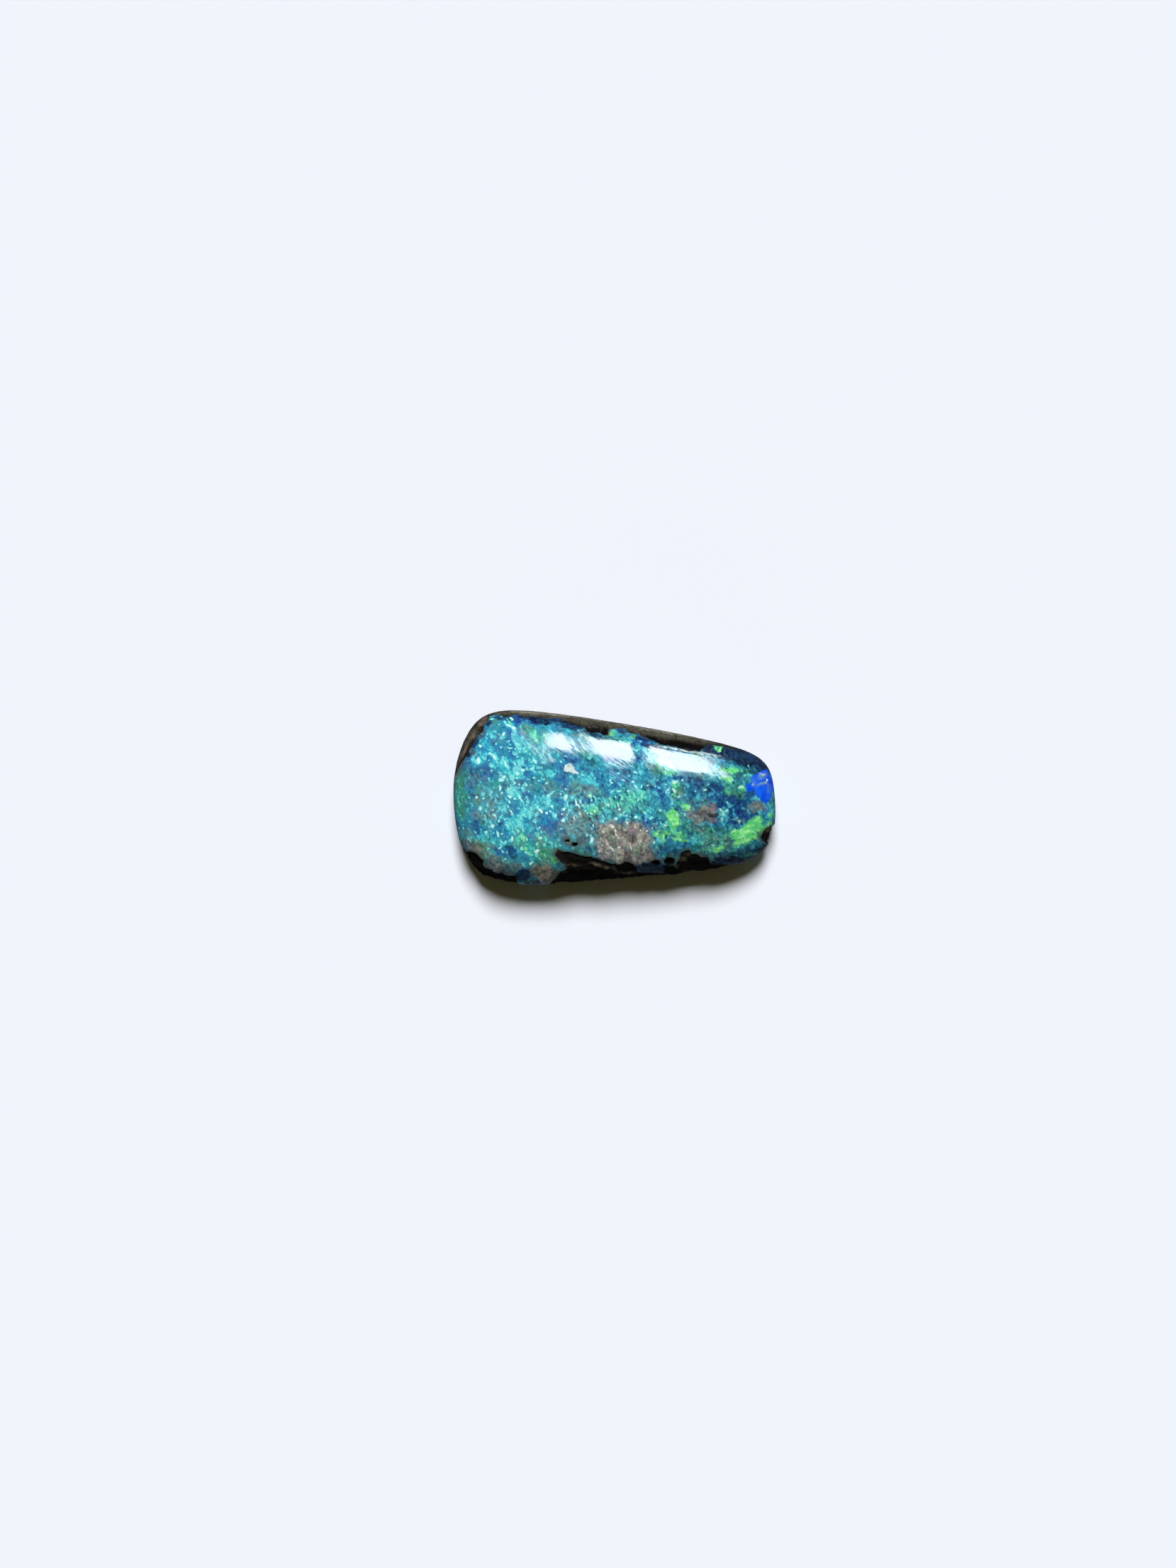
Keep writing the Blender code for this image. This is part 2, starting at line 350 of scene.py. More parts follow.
def unrolled_picture(points, normals, rings):
    """Photograph pixels of every point. Past the edge that the camera sees, they run on outwards at the same scale."""
    picture = to_picture(points)
    facing = np.einsum("ij,ij->i", normals, EYE - points) > 0.0
    ring_size = 2 * (LONG_CELLS + SHORT_CELLS)
    first = (LONG_CELLS + 1) * (SHORT_CELLS + 1)
    ring_count = rings.max()
    index = first + np.arange(ring_count * ring_size).reshape(ring_count, ring_size)
    seen = facing[index]
    edge = np.maximum.accumulate(np.where(seen, np.arange(ring_count)[:, None], 0), axis=0)[-1]
    column = np.arange(ring_size)
    edge_index = index[edge, column]
    edge_picture = picture[edge_index]
    ahead = np.roll(edge_picture, -3, axis=0) - np.roll(edge_picture, 3, axis=0)
    outward = np.stack((-ahead[:, 1], ahead[:, 0]), -1)
    outward /= np.maximum(np.linalg.norm(outward, axis=1, keepdims=True), 1e-9)
    middle = np.array(STONE_PIXEL)
    outward *= np.sign(np.einsum("ij,ij->i", outward, edge_picture - middle))[:, None]
    step = np.linalg.norm(np.diff(points[index], axis=0), axis=2)
    along = np.concatenate((np.zeros((1, ring_size)), np.cumsum(step, axis=0)))
    past = along - along[edge, column]
    hidden = np.arange(ring_count)[:, None] > edge[None]
    place = edge_picture[None] + outward[None] * (past / MM_PER_PIXEL)[..., None]
    picture[index[hidden]] = place[hidden]
    beyond = np.zeros(len(points))
    beyond[index] = np.where(hidden, past, 0.0)
    return picture, beyond


# ----------------------------------------------- where the ironstone meets opal
# Closed lines in photograph pixels. Each runs on outwards past the stone's edge,
# so that the hidden flanks get the same ironstone.
UPPER_IRONSTONE = (
    (1040, 1057.5), (1030, 1055.5), (1018, 1053), (1008, 1050.6), (1001, 1049.4), (996, 1051), (992.5, 1056),
    (988, 1059.5), (981, 1059.5), (973, 1058.7), (966, 1057), (957, 1054.5), (947, 1052.5), (937, 1051),
    (929, 1049.5), (920, 1045), (910, 1040), (901, 1036.5), (893, 1036), (888, 1034), (882, 1028),
    (870, 1027.5), (859, 1029), (857, 1037), (850, 1037), (846, 1033), (836, 1034), (827, 1031),
    (824, 1025), (815, 1023), (805, 1021), (796, 1017), (786, 1013), (770, 1013.5), (760, 1012.5),
    (749, 1009.5), (739, 1011.5), (732, 1008.5), (722, 1009.5), (712, 1012), (703, 1008.5), (697, 1009),
    (690, 1010), (689.6, 1015), (683.8, 1021), (682, 1031), (676, 1037), (669.5, 1046), (665, 1053),
    (660, 1065), (652, 1075), (646.5, 1084), (643.6, 1090), (630, 1096), (600, 1100), (400, 1060),
    (500, 700), (1200, 700), (1110, 1010), (1060, 1052),
)
LOWER_LEFT_IRONSTONE = (
    (640, 1184), (649, 1185), (652, 1194), (656, 1202), (663, 1201), (670, 1203), (677, 1210), (682, 1214),
    (681, 1220), (685, 1225.5), (693, 1226.5), (697, 1231.5), (707, 1232.5), (717.5, 1236.5), (728, 1236.5),
    (730, 1243), (732, 1249), (735, 1262), (740, 1290), (740, 1500), (400, 1500), (400, 1190),
)
LOWER_IRONSTONE = (
    (777, 1245), (786, 1236), (792, 1229.5), (800, 1226.5), (796, 1220), (789, 1214), (784, 1209),
    (783, 1205), (786, 1199), (796, 1202), (805, 1202), (815, 1206), (824, 1208.5), (834, 1208.5),
    (840, 1211.5), (848, 1214), (855, 1215), (862.5, 1218.5), (870, 1220), (876, 1218.5), (882, 1215),
    (889, 1218), (895, 1220), (898, 1225), (900, 1231), (912, 1231.5), (925, 1232), (936, 1232.5),
    (938, 1226), (936, 1221), (944, 1222), (953, 1222), (955, 1216), (958, 1212), (962.6, 1202),
    (967, 1200), (972.6, 1199), (976, 1205.5), (984, 1205.5), (989, 1209), (998, 1209), (1001.5, 1213),
    (1002, 1220), (1012, 1220), (1022.6, 1220.4), (1036, 1219), (1047, 1219), (1054, 1224), (1075, 1240),
    (1120, 1300), (1120, 1500), (760, 1500), (764, 1290), (770, 1258),
)
RIGHT_END_IRONSTONE = (
    (1096, 1160), (1089, 1165), (1082, 1168), (1076, 1173), (1073.5, 1180), (1076, 1187), (1081, 1190),
    (1094, 1192), (1130, 1200), (1130, 1160),
)
# The hollows are also painted near black: partly the dark ironstone in them, and partly painted shade inside them.
SMALL_HOLLOWS = (  # x, y, half width, half height, turn: black, broken out of the opal
    (926, 1218, 6.5, 4.5, 0), (944.5, 1216, 8.0, 6.0, 10), (837, 1029, 10.5, 4.2, 8),
    (801, 1186, 3.4, 2.8, 0), (811, 1191, 4.6, 3.4, 20), (1047, 1224, 6, 3, -10),
)
# The opal's own edge where the photograph doesn't show it: round the two ends it
# runs about a millimetre past the visible edge, and then ironstone begins.
OPAL_REACH = (
    (604, 1100), (610, 1060), (640, 1010), (690, 970), (780, 966), (900, 985), (1010, 1018), (1062, 1030),
    (1100, 1062), (1122, 1110), (1126, 1150), (1118, 1190), (1098, 1226), (1060, 1246), (1000, 1256),
    (900, 1268), (800, 1276), (770, 1273), (748, 1278), (728, 1273), (690, 1268), (650, 1250), (622, 1215),
    (612, 1190), (608, 1150),
)


def signed_distance(places, corners):
    """Distance in pixels from the closed line, positive inside it."""
    corners = np.array(corners, float)
    nearest = np.full(len(places), 1e9)
    inside = np.zeros(len(places), bool)
    for (x0, y0), (x1, y1) in zip(corners, np.roll(corners, -1, axis=0)):
        along = np.array((x1 - x0, y1 - y0))
        from_start = places - (x0, y0)
        part = np.clip(from_start @ along / max(along @ along, 1e-12), 0.0, 1.0)
        nearest = np.minimum(nearest, np.linalg.norm(from_start - part[:, None] * along, axis=1))
        if y0 != y1:
            crosses = (places[:, 1] < y0) != (places[:, 1] < y1)
            inside ^= crosses & (places[:, 0] < x0 + (places[:, 1] - y0) * (x1 - x0) / (y1 - y0))
    return np.where(inside, nearest, -nearest)


def oval(places, x, y, half_width, half_height, turn=0.0):
    """Distance from the middle of an oval, 1 on its edge. turn is anticlockwise, in degrees, as seen in the photograph."""
    angle = math.radians(turn)
    dx, dy = places[:, 0] - x, y - places[:, 1]
    return np.hypot(
        (dx * math.cos(angle) + dy * math.sin(angle)) / half_width,
        (-dx * math.sin(angle) + dy * math.cos(angle)) / half_height,
    )


def patches(places, ovals, soft=0.35):
    """1 inside any of these ovals (x, y, half width, half height, turn, strength), fading to 0 across their edges."""
    cover = np.zeros(len(places))
    for x, y, half_width, half_height, turn, strength in ovals:
        away = oval(places, x, y, half_width, half_height, turn)
        cover = np.maximum(cover, strength * ease(away, 1.0 + soft, 1.0 - soft))
    return cover


def strokes(places, lines, soft=0.6):
    """Depth of scratch-like lines: (half width in pixels, strength, points)."""
    cover = np.zeros(len(places))
    for half_width, strength, line in lines:
        for (x0, y0), (x1, y1) in zip(line, line[1:]):
            along = np.array((x1 - x0, y1 - y0), float)
            from_start = places - (x0, y0)
            part = np.clip(from_start @ along / (along @ along), 0.0, 1.0)
            away = np.linalg.norm(from_start - part[:, None] * along, axis=1)
            cover = np.maximum(cover, strength * ease(away, half_width * (1 + soft), half_width * (1 - soft)))
    return cover


# ------------------------------------------------------- colours in the opal
# Ovals in photograph pixels: x, y, half width, half height, turn, strength.
GREEN_FLASH = (
    (719, 1018, 6, 4, 0, 0.45), (860, 1035, 11, 4, -8, 0.7), (891, 1040, 6, 3, -20, 0.7),
    (833, 1123, 6, 4, -10, 0.45), (838, 1143, 10, 7, -10, 0.42), (801, 1194, 9, 6, 0, 0.35),
    (951, 1155, 9, 12, 10, 0.85), (950, 1168, 5, 7, 0, 0.5), (926, 1176, 4.5, 5.5, 0, 0.9), (937, 1181, 4, 8, 20, 0.85), (958, 1182, 14, 4, -14, 0.9), (968, 1141, 8, 8, -30, 0.7),
    (936, 1177, 14, 7, -10, 0.6), (961, 1179, 12, 6, -12, 0.7), (960, 1139, 13, 8, -20, 0.4), (745, 1194, 8, 10, 0, 0.35),
    (953, 1107, 6, 9, 25, 0.4), (907, 1148, 6, 5, -30, 0.35), (919, 1155, 5, 4, 30, 0.35), (946, 1174, 4, 3, 0, 0.5), (966, 1146, 5, 4, 0, 0.35),
    (748, 1200, 9, 7, -15, 0.35), (774, 1214, 12, 9, -20, 0.55), (735, 1178, 8, 12, 10, 0.3),
    (1029, 1087, 12, 4.6, -6, 0.95), (1026, 1099, 9, 5, -20, 0.9), (1047, 1111, 5, 5, 0, 0.8),
    (1011, 1054.6, 6, 2.2, -28, 0.75), (1016, 1057.5, 4.5, 3.2, 15, 0.95), (1014, 1197, 7, 4, 0, 0.85), (1062, 1205, 9, 3, 20, 0.6),
    (1021, 1143, 8, 7, -30, 0.25), (1018, 1154, 4, 7, 0, 0.25), (865, 1212, 7, 4, -10, 0.45),
    (862, 1198, 7, 4, 10, 0.45), (905, 1190, 4, 3, 0, 0.4), (942, 1088, 14, 5, -10, 0.55), (930, 1078, 8, 7, 0, 0.5),
    (894, 1040, 7, 4, -15, 0.5), (1000, 1180, 8, 6, 0, 0.35), (1088, 1149, 4, 6, 0, 0.5), (1061, 1160, 12, 6, 25, 0.6),
)
# Places where the opal is darkened: where it is thin over the dark ironstone, and along the lower edge as painted
# shade, since that flank faces away from the light.
DIM_AND_EDGE_SHADE = (  # places where the opal is thin over the dark ironstone
    (1010, 1150, 62, 60, 0, 0.55), (1014, 1176, 22, 14, 0, 0.55), (1030, 1208, 40, 8, -6, 0.95), (1070, 1200, 18, 12, 30, 0.9),
    (1000, 1118, 34, 16, -10, 0.45), (700, 1222, 34, 9, -22, 0.6), (668, 1195, 14, 8, -30, 0.5), (655, 1085, 9, 18, -15, 0.4),
    (672, 1168, 14, 9, 0, 0.4), (985, 1200, 22, 10, 0, 0.75), (944, 1201, 24, 11, -5, 0.8), (735, 1226, 20, 7, -15, 0.5),
)
# Where the polish is scuffed: these patches roughen the polish, and pale streaky lines are painted into the colour
# there too, a painted highlight for the window's glare.
POLISH_SCUFF_AND_GLARE = (  # where the polish is scuffed, and draws the window out into streaks
    (818, 1050, 13, 15, -20, 1.0), (764, 1062, 9, 13, 35, 0.9), (774, 1073, 8, 5, 0, 0.7), (836, 1058, 10, 9, -20, 0.55),
    (917, 1070, 14, 12, -20, 0.8), (1012, 1089, 18, 6, -18, 0.9), (752, 1048, 8, 12, 35, 0.6),
    (735, 1040, 8, 14, 40, 0.35), (945, 1088, 22, 4, -14, 0.4),
)
GREEN_FLASH_OUTLINE = (
    (1025, 1178), (1030, 1172), (1037, 1171), (1047, 1167), (1054, 1160), (1062, 1159), (1067, 1153), (1073.6, 1151),
    (1074, 1160), (1078, 1163), (1085, 1160), (1091, 1161), (1084, 1169), (1075, 1173), (1069, 1183),
    (1060, 1186), (1053, 1190), (1044, 1192.5), (1034, 1191), (1036, 1184),
)
VIVID_BLUE_OUTLINE = (
    (1081.4, 1085), (1074, 1087.5), (1069, 1090.5), (1063, 1093.5), (1058.5, 1098.5), (1060, 1103), (1057, 1105), (1053, 1106.5),
    (1052.5, 1112), (1053.5, 1116), (1057, 1117.5), (1061, 1114.5), (1063.5, 1113), (1065.5, 1119), (1070, 1125), (1075.5, 1130),
    (1081, 1133), (1085, 1129.5), (1088, 1122), (1090.8, 1113.5), (1090.8, 1105), (1088, 1098), (1084.5, 1091),
)
DEEP_BLUE = (
    (718, 1057, 15, 12, 0, 0.6), (659, 1085, 9, 15, 0, 0.4), (684, 1093, 14, 10, 0, 0.4), (774, 1167, 14, 10, 0, 0.7),
    (715, 1201, 12, 6, -10, 0.7), (799, 1071, 8, 5, 0, 0.7), (816, 1149, 5, 5, 0, 0.8), (672, 1170, 11, 8, 0, 0.45),
    (986, 1105, 10, 9, 0, 0.9), (1029, 1208, 28, 7, -6, 0.9),
    (732, 1017, 9, 6, -10, 0.9), (752, 1018, 9, 6, -10, 0.9), (725, 1061, 9, 7, 0, 0.65), (719, 1035, 7, 6, 0, 0.5),
    (761, 1100, 5, 5, 0, 0.5), (703, 1055, 7, 7, 0, 0.5), (740, 1044, 9, 6, 20, 0.45), (806, 1072, 11, 5, 0, 0.75),
    (905, 1048, 12, 9, -10, 0.85), (932, 1118, 15, 27, 0, 0.5), (790, 1133, 6, 5, 0, 0.8), (793, 1149, 5, 5, 0, 0.6),
    (858, 1122, 12, 8, -10, 0.55), (898, 1075, 11, 6, -15, 0.6), (880, 1124, 8, 5, 0, 0.4), (770, 1160, 9, 9, 0, 0.35),
    (703, 1198, 10, 5, -20, 0.55), (826, 1129, 5, 6, 0, 0.6), (985, 1112, 17, 12, -15, 0.8),
    (1006, 1121, 13, 12, 0, 0.95), (1000, 1163, 9, 6, 0, 0.45), (755, 1080, 9, 6, 30, 0.35), (690, 1090, 7, 8, 0, 0.35),
    (752, 1178, 8, 7, 0, 0.45), (1030, 1212, 30, 5, -8, 0.9), (1062, 1199, 13, 10, 30, 0.45),
    (675, 1150, 8, 10, 0, 0.25), (720, 1150, 10, 8, 0, 0.25), (700, 1178, 9, 8, 0, 0.35), (778, 1185, 9, 9, 0, 0.3),
    (741, 1120, 8, 7, 0, 0.35), (663, 1105, 9, 9, 0, 0.3), (906, 1112, 8, 6, 0, 0.4),
)
ROYAL_BLUE = (
    (1040, 1140, 27, 14, -5, 0.95), (1029, 1126, 12, 6, 0, 0.8), (1060, 1150, 12, 8, 0, 0.7), (1031, 1158, 9, 7, 0, 0.75),
    (1016, 1137, 4, 4, 0, 1.0), (1070, 1098, 12, 10, 0, 0.6), (1060, 1120, 12, 8, -20, 0.7),
)
# Navy zones of the opal. The ones strung along the lower edge are partly painted shade, darker where that side faces
# away from the light.
NAVY = (
    (1040, 1214, 28, 4, -3, 0.85), (1070, 1201, 12, 5, 38, 0.6),
    (998, 1053, 8, 5, 0, 1.0),
    (1014, 1219, 18, 4, 0, 0.95),
    (1026, 1213, 26, 4, -4, 0.75), (1062, 1206, 16, 5, 25, 0.5), (700, 1232, 22, 4, -22, 0.5),
    (800, 1020.5, 30, 7, -13, 0.85), (832, 1036, 17, 5, -10, 0.75), (905, 1043, 22, 4, -18, 0.6), (880, 1031, 12, 4, -12, 0.6),
    (755, 1013.5, 24, 6, -8, 0.9), (712, 1011.5, 22, 5, -4, 0.6), (688, 1020, 7, 6, 45, 0.7), (1014, 1054, 26, 7, -13, 0.9),
    (940, 1053, 16, 3, -12, 0.7), (672, 1046, 5, 9, -40, 0.7), (658, 1066, 4, 10, -30, 0.7),
    (922, 1227, 27, 11, -5, 1.0), (737, 1236, 13, 10, 10, 0.75), (1055, 1062, 30, 10, -22, 0.9),
    (1020, 1064, 22, 8, -14, 0.85), (1051, 1069, 26, 14, -22, 1.0), (1075, 1084, 12, 12, -40, 0.9), (1000, 1058, 10, 4, -10, 0.8),
    (767, 1018, 10, 5, -8, 0.95), (785, 1020, 12, 5, -12, 0.55), (666, 1048, 3.5, 6, 40, 0.9), (657, 1063, 3, 7, 35, 0.9),
    (686, 1026, 4, 6, 30, 0.5), (916, 1054, 10, 4, -20, 0.75), (1062, 1187, 8, 5, 30, 0.35), (1082, 1190, 8, 8, 0, 0.6),
    (1045, 1202, 22, 5, 12, 0.5), (1034, 1074, 24, 5.5, -22, 0.62), (1057, 1087, 12, 7, -35, 0.6), (843, 1040, 14, 4, -5, 0.6), (872, 1033, 12, 3, 0, 0.4), (979, 1098, 22, 4, -16, 0.45),
)
HAZE = (
    (675, 1098, 24, 15, 0, 0.45), (690, 1208, 26, 9, -30, 0.9), (668, 1192, 14, 8, -30, 0.8), (720, 1220, 22, 6, -14, 0.7),
    (682, 1195, 22, 12, -15, 0.65), (677, 1130, 14, 10, 0, 0.6), (681, 1146, 15, 8, 0, 0.6), (752, 1143, 15, 8, 0, 0.55),
    (690, 1135, 32, 26, 0, 0.62), (735, 1112, 20, 14, 0, 0.4), (820, 1115, 28, 14, 0, 0.55), (818, 1165, 36, 30, 10, 0.72),
    (752, 1140, 20, 15, 0, 0.5), (765, 1180, 15, 16, 0, 0.45), (790, 1205, 14, 8, 0, 0.3), (900, 1132, 24, 16, 0, 0.25),
    (1010, 1190, 28, 15, 0, 0.5), (985, 1165, 15, 14, 0, 0.6), (700, 1222, 24, 9, -20, 0.6), (768, 1233, 21, 12, -12, 1.0),
    (1066, 1140, 13, 8, 0, 0.75), (663, 1190, 14, 8, -20, 0.55), (1041, 1157, 6, 4, 0, 0.9), (930, 1055, 8, 7, 0, 0.6),
    (668, 1065, 6, 7, 30, 0.35), (955, 1128, 14, 8, 0, 0.35), (975, 1090, 30, 6, -15, 0.25), (1000, 1205, 20, 7, -5, 0.45),
)
BROWN = (
    (884, 1210, 26, 10, -8, 0.9), (852, 1206, 10, 8, 0, 0.8),
    (866, 1182, 24, 24, -8, 0.95), (895, 1186, 22, 26, -10, 0.95), (912, 1208, 13, 12, -10, 0.9), (868, 1208, 16, 9, -15, 0.85),
    (850, 1196, 10, 16, 0, 0.7), (769, 1233, 21, 12, -12, 0.9), (994, 1150, 18, 12, -10, 0.75), (1003, 1158, 12, 6, -15, 0.6),
    (1072, 1139, 11, 7, -15, 0.5), (690, 1152, 14, 5, 10, 0.25), (700, 1132, 14, 5, 0, 0.25), (704, 1227, 24, 7, -24, 0.55),
    (668, 1198, 12, 6, -24, 0.6), (814, 1152, 14, 9, 0, 0.25), (975, 1148, 10, 7, 0, 0.5),
)
DARK_BROWN = (
    (1004, 1151.5, 9, 2.8, -14, 0.95), (988, 1147, 13, 5, -15, 0.5), (890, 1183, 8, 9, 0, 0.55), (916, 1206, 10, 7, -10, 0.42), (868, 1190, 5, 6, 0, 0.35), (1012, 1150, 5, 3, 0, 0.7),
    (757, 1250.5, 28, 6.0, 0, 0.95), (1001, 1049, 7, 4, -12, 0.8), (1012, 1051, 10, 2.5, -16, 0.5), (1000, 1056, 4, 5, 0, 0.6), (999, 1161, 6, 3, 0, 0.5), (842, 1130, 3, 5, 0, 0.5), (1087, 1172, 8, 6, 0, 0.4), (975, 1180, 5, 4, 0, 0.4),
)
PINK = (
    (1005, 1140, 6.5, 8, 0, 1.0), (892, 1173, 8, 9, -30, 0.65), (1044, 1158, 4, 4, 0, 0.55), (926, 1055, 5, 5, 0, 0.5),
    (1001, 1153, 5, 3, 0, 0.35), (1078, 1137, 5, 7, 0, 0.35), (853, 1192, 8, 8, 0, 0.3),
)
CYAN_FLASH = (
    (911, 1061, 15, 7, -24, 0.9), (899, 1057, 8, 5, -20, 0.7), (749, 1049, 15, 22, 15, 0.75), (687, 1066, 12, 9, 0, 0.7), (731, 1068, 11, 13, 10, 0.75), (724, 1126, 20, 16, 0, 0.7), (738, 1150, 13, 12, 0, 0.6),
    (734, 1164, 16, 13, 0, 0.65), (706, 1189, 12, 8, -30, 0.8), (759, 1180, 9, 9, 0, 0.5), (892, 1124, 22, 12, 0, 0.35),
    (681, 1065, 9, 6.5, -10, 0.95), (697, 1067, 4, 6, 20, 0.9), (715, 1072, 7, 6, 0, 0.7), (729, 1090, 7, 7, 0, 0.75),
    (695, 1081, 6, 7, 0, 0.6), (709, 1099, 6, 5, 0, 0.75), (719, 1021, 9, 5, -25, 0.9), (675, 1074, 5, 4, 0, 0.95),
    (745, 1062, 9, 6, 0, 0.55), (762, 1070, 8, 10, 30, 0.75), (780, 1064, 8, 7, 0, 0.85), (775, 1090, 9, 6, 0, 0.5),
    (700, 1120, 7, 5, 0, 0.45), (742, 1131, 6, 5, 0, 0.55), (755, 1128, 8, 6, 0, 0.5), (800, 1120, 8, 6, 0, 0.55),
    (801, 1140, 4, 8, 15, 0.75), (745, 1170, 9, 8, 0, 0.65), (722, 1165, 8, 8, 0, 0.5), (708, 1190, 9, 8, 0, 0.6),
    (695, 1205, 8, 6, 0, 0.5), (690, 1170, 7, 9, 0, 0.35), (835, 1185, 5, 5, 0, 0.9), (835, 1125, 7, 6, 0, 0.45),
    (870, 1120, 8, 5, 0, 0.45), (875, 1108, 8, 4, 0, 0.4), (925, 1070, 12, 13, 0, 0.85), (946, 1082, 12, 6, 0, 0.7), (952, 1108, 8, 10, 20, 0.5),
    (905, 1090, 10, 5, -20, 0.4), (1075, 1094, 7, 4.2, 35, 1.0), (1077, 1107, 9, 2.8, 5, 0.95), (1064, 1104, 5, 6, 0, 0.45), (1084, 1112, 3, 8, 0, 0.35), (1022, 1145, 7, 6, 0, 0.75), (750, 1216, 4, 2.5, 0, 0.9),
    (826, 1101, 11, 6, -5, 1.0), (845, 1107, 6, 3, 10, 0.6), (660, 1130, 7, 8, 0, 0.35), (733, 1050, 6, 10, 30, 0.5), (755, 1050, 8, 8, 30, 0.5),
    (862, 1134, 12, 7, 0, 0.8), (893, 1128, 10, 7, 0, 0.8), (908, 1142, 9, 6, 0, 0.7), (880, 1146, 10, 5, 0, 0.6),
    (770, 1140, 9, 7, 0, 0.45), (850, 1160, 6, 5, 0, 0.35), (700, 1040, 8, 7, 0, 0.35), (725, 1105, 8, 6, 0, 0.45),
)
GREEN_TINT = (  # where the ground itself turns to teal green
    (648, 1122, 9, 50, 0, 0.6), (682, 1195, 20, 12, -15, 0.6), (743, 1024, 12, 8, -15, 0.9), (737, 1189, 12, 14, 0, 1.0), (771, 1208, 14, 13, 0, 1.0),
    (955, 1114, 7, 14, -25, 0.9), (1039, 1114, 13, 11, 0, 1.0), (1000, 1177, 24, 12, 0, 0.8), (840, 1142, 11, 8, 0, 0.8),
    (888, 1132, 40, 18, 0, 0.7), (1036, 1115, 18, 15, -10, 0.85), (1012, 1190, 34, 18, 5, 0.75),
    (750, 1190, 34, 24, 0, 0.6), (755, 1035, 22, 12, -20, 0.7), (860, 1045, 40, 8, -12, 0.5), (940, 1082, 28, 12, 0, 0.6),
    (1060, 1172, 30, 16, 25, 0.8), (835, 1145, 18, 12, 0, 0.5), (955, 1165, 26, 20, 0, 0.7), (790, 1195, 18, 12, 0, 0.5),
    (1035, 1090, 20, 8, -15, 0.8), (700, 1025, 14, 10, 0, 0.4), (690, 1210, 24, 10, -20, 0.4), (820, 1035, 30, 8, -12, 0.35),
)
SMOOTH_BLUE = (  # calm, clearer blue with few flecks
    (850, 1094, 62, 22, -6, 0.8), (905, 1120, 24, 22, 0, 0.45), (985, 1112, 26, 16, -10, 0.6), (1051, 1069, 34, 16, -22, 0.9),
    (1040, 1140, 30, 16, 0, 0.6), (1070, 1110, 22, 22, 0, 0.8), (1020, 1205, 44, 14, 8, 0.4),
)
DENSE_FLECKS = (
    (818, 1132, 36, 20, 0, 1.0), (948, 1158, 22, 26, 0, 1.0), (935, 1180, 26, 10, 0, 1.0), (1030, 1145, 12, 12, 0, 1.0),
    (1033, 1088, 16, 8, -15, 0.9), (900, 1120, 30, 20, 0, 0.9), (1055, 1172, 30, 14, 20, 0.8), (875, 1165, 36, 14, 0, 1.0),
    (720, 1085, 60, 48, 0, 1.0), (730, 1165, 66, 52, 0, 1.0), (800, 1140, 48, 28, 0, 0.8), (760, 1040, 50, 20, -10, 0.75),
    (880, 1190, 44, 32, 0, 0.8), (850, 1125, 48, 16, 0, 0.65), (950, 1160, 32, 26, 0, 0.7), (900, 1110, 36, 16, 0, 0.6),
    (1020, 1100, 26, 16, 0, 0.55), (1035, 1148, 24, 14, 0, 0.5), (1050, 1180, 36, 16, 20, 0.6), (1010, 1195, 34, 12, 0, 0.45),
    (870, 1045, 44, 9, -12, 0.5), (990, 1120, 26, 14, 0, 0.55),
)
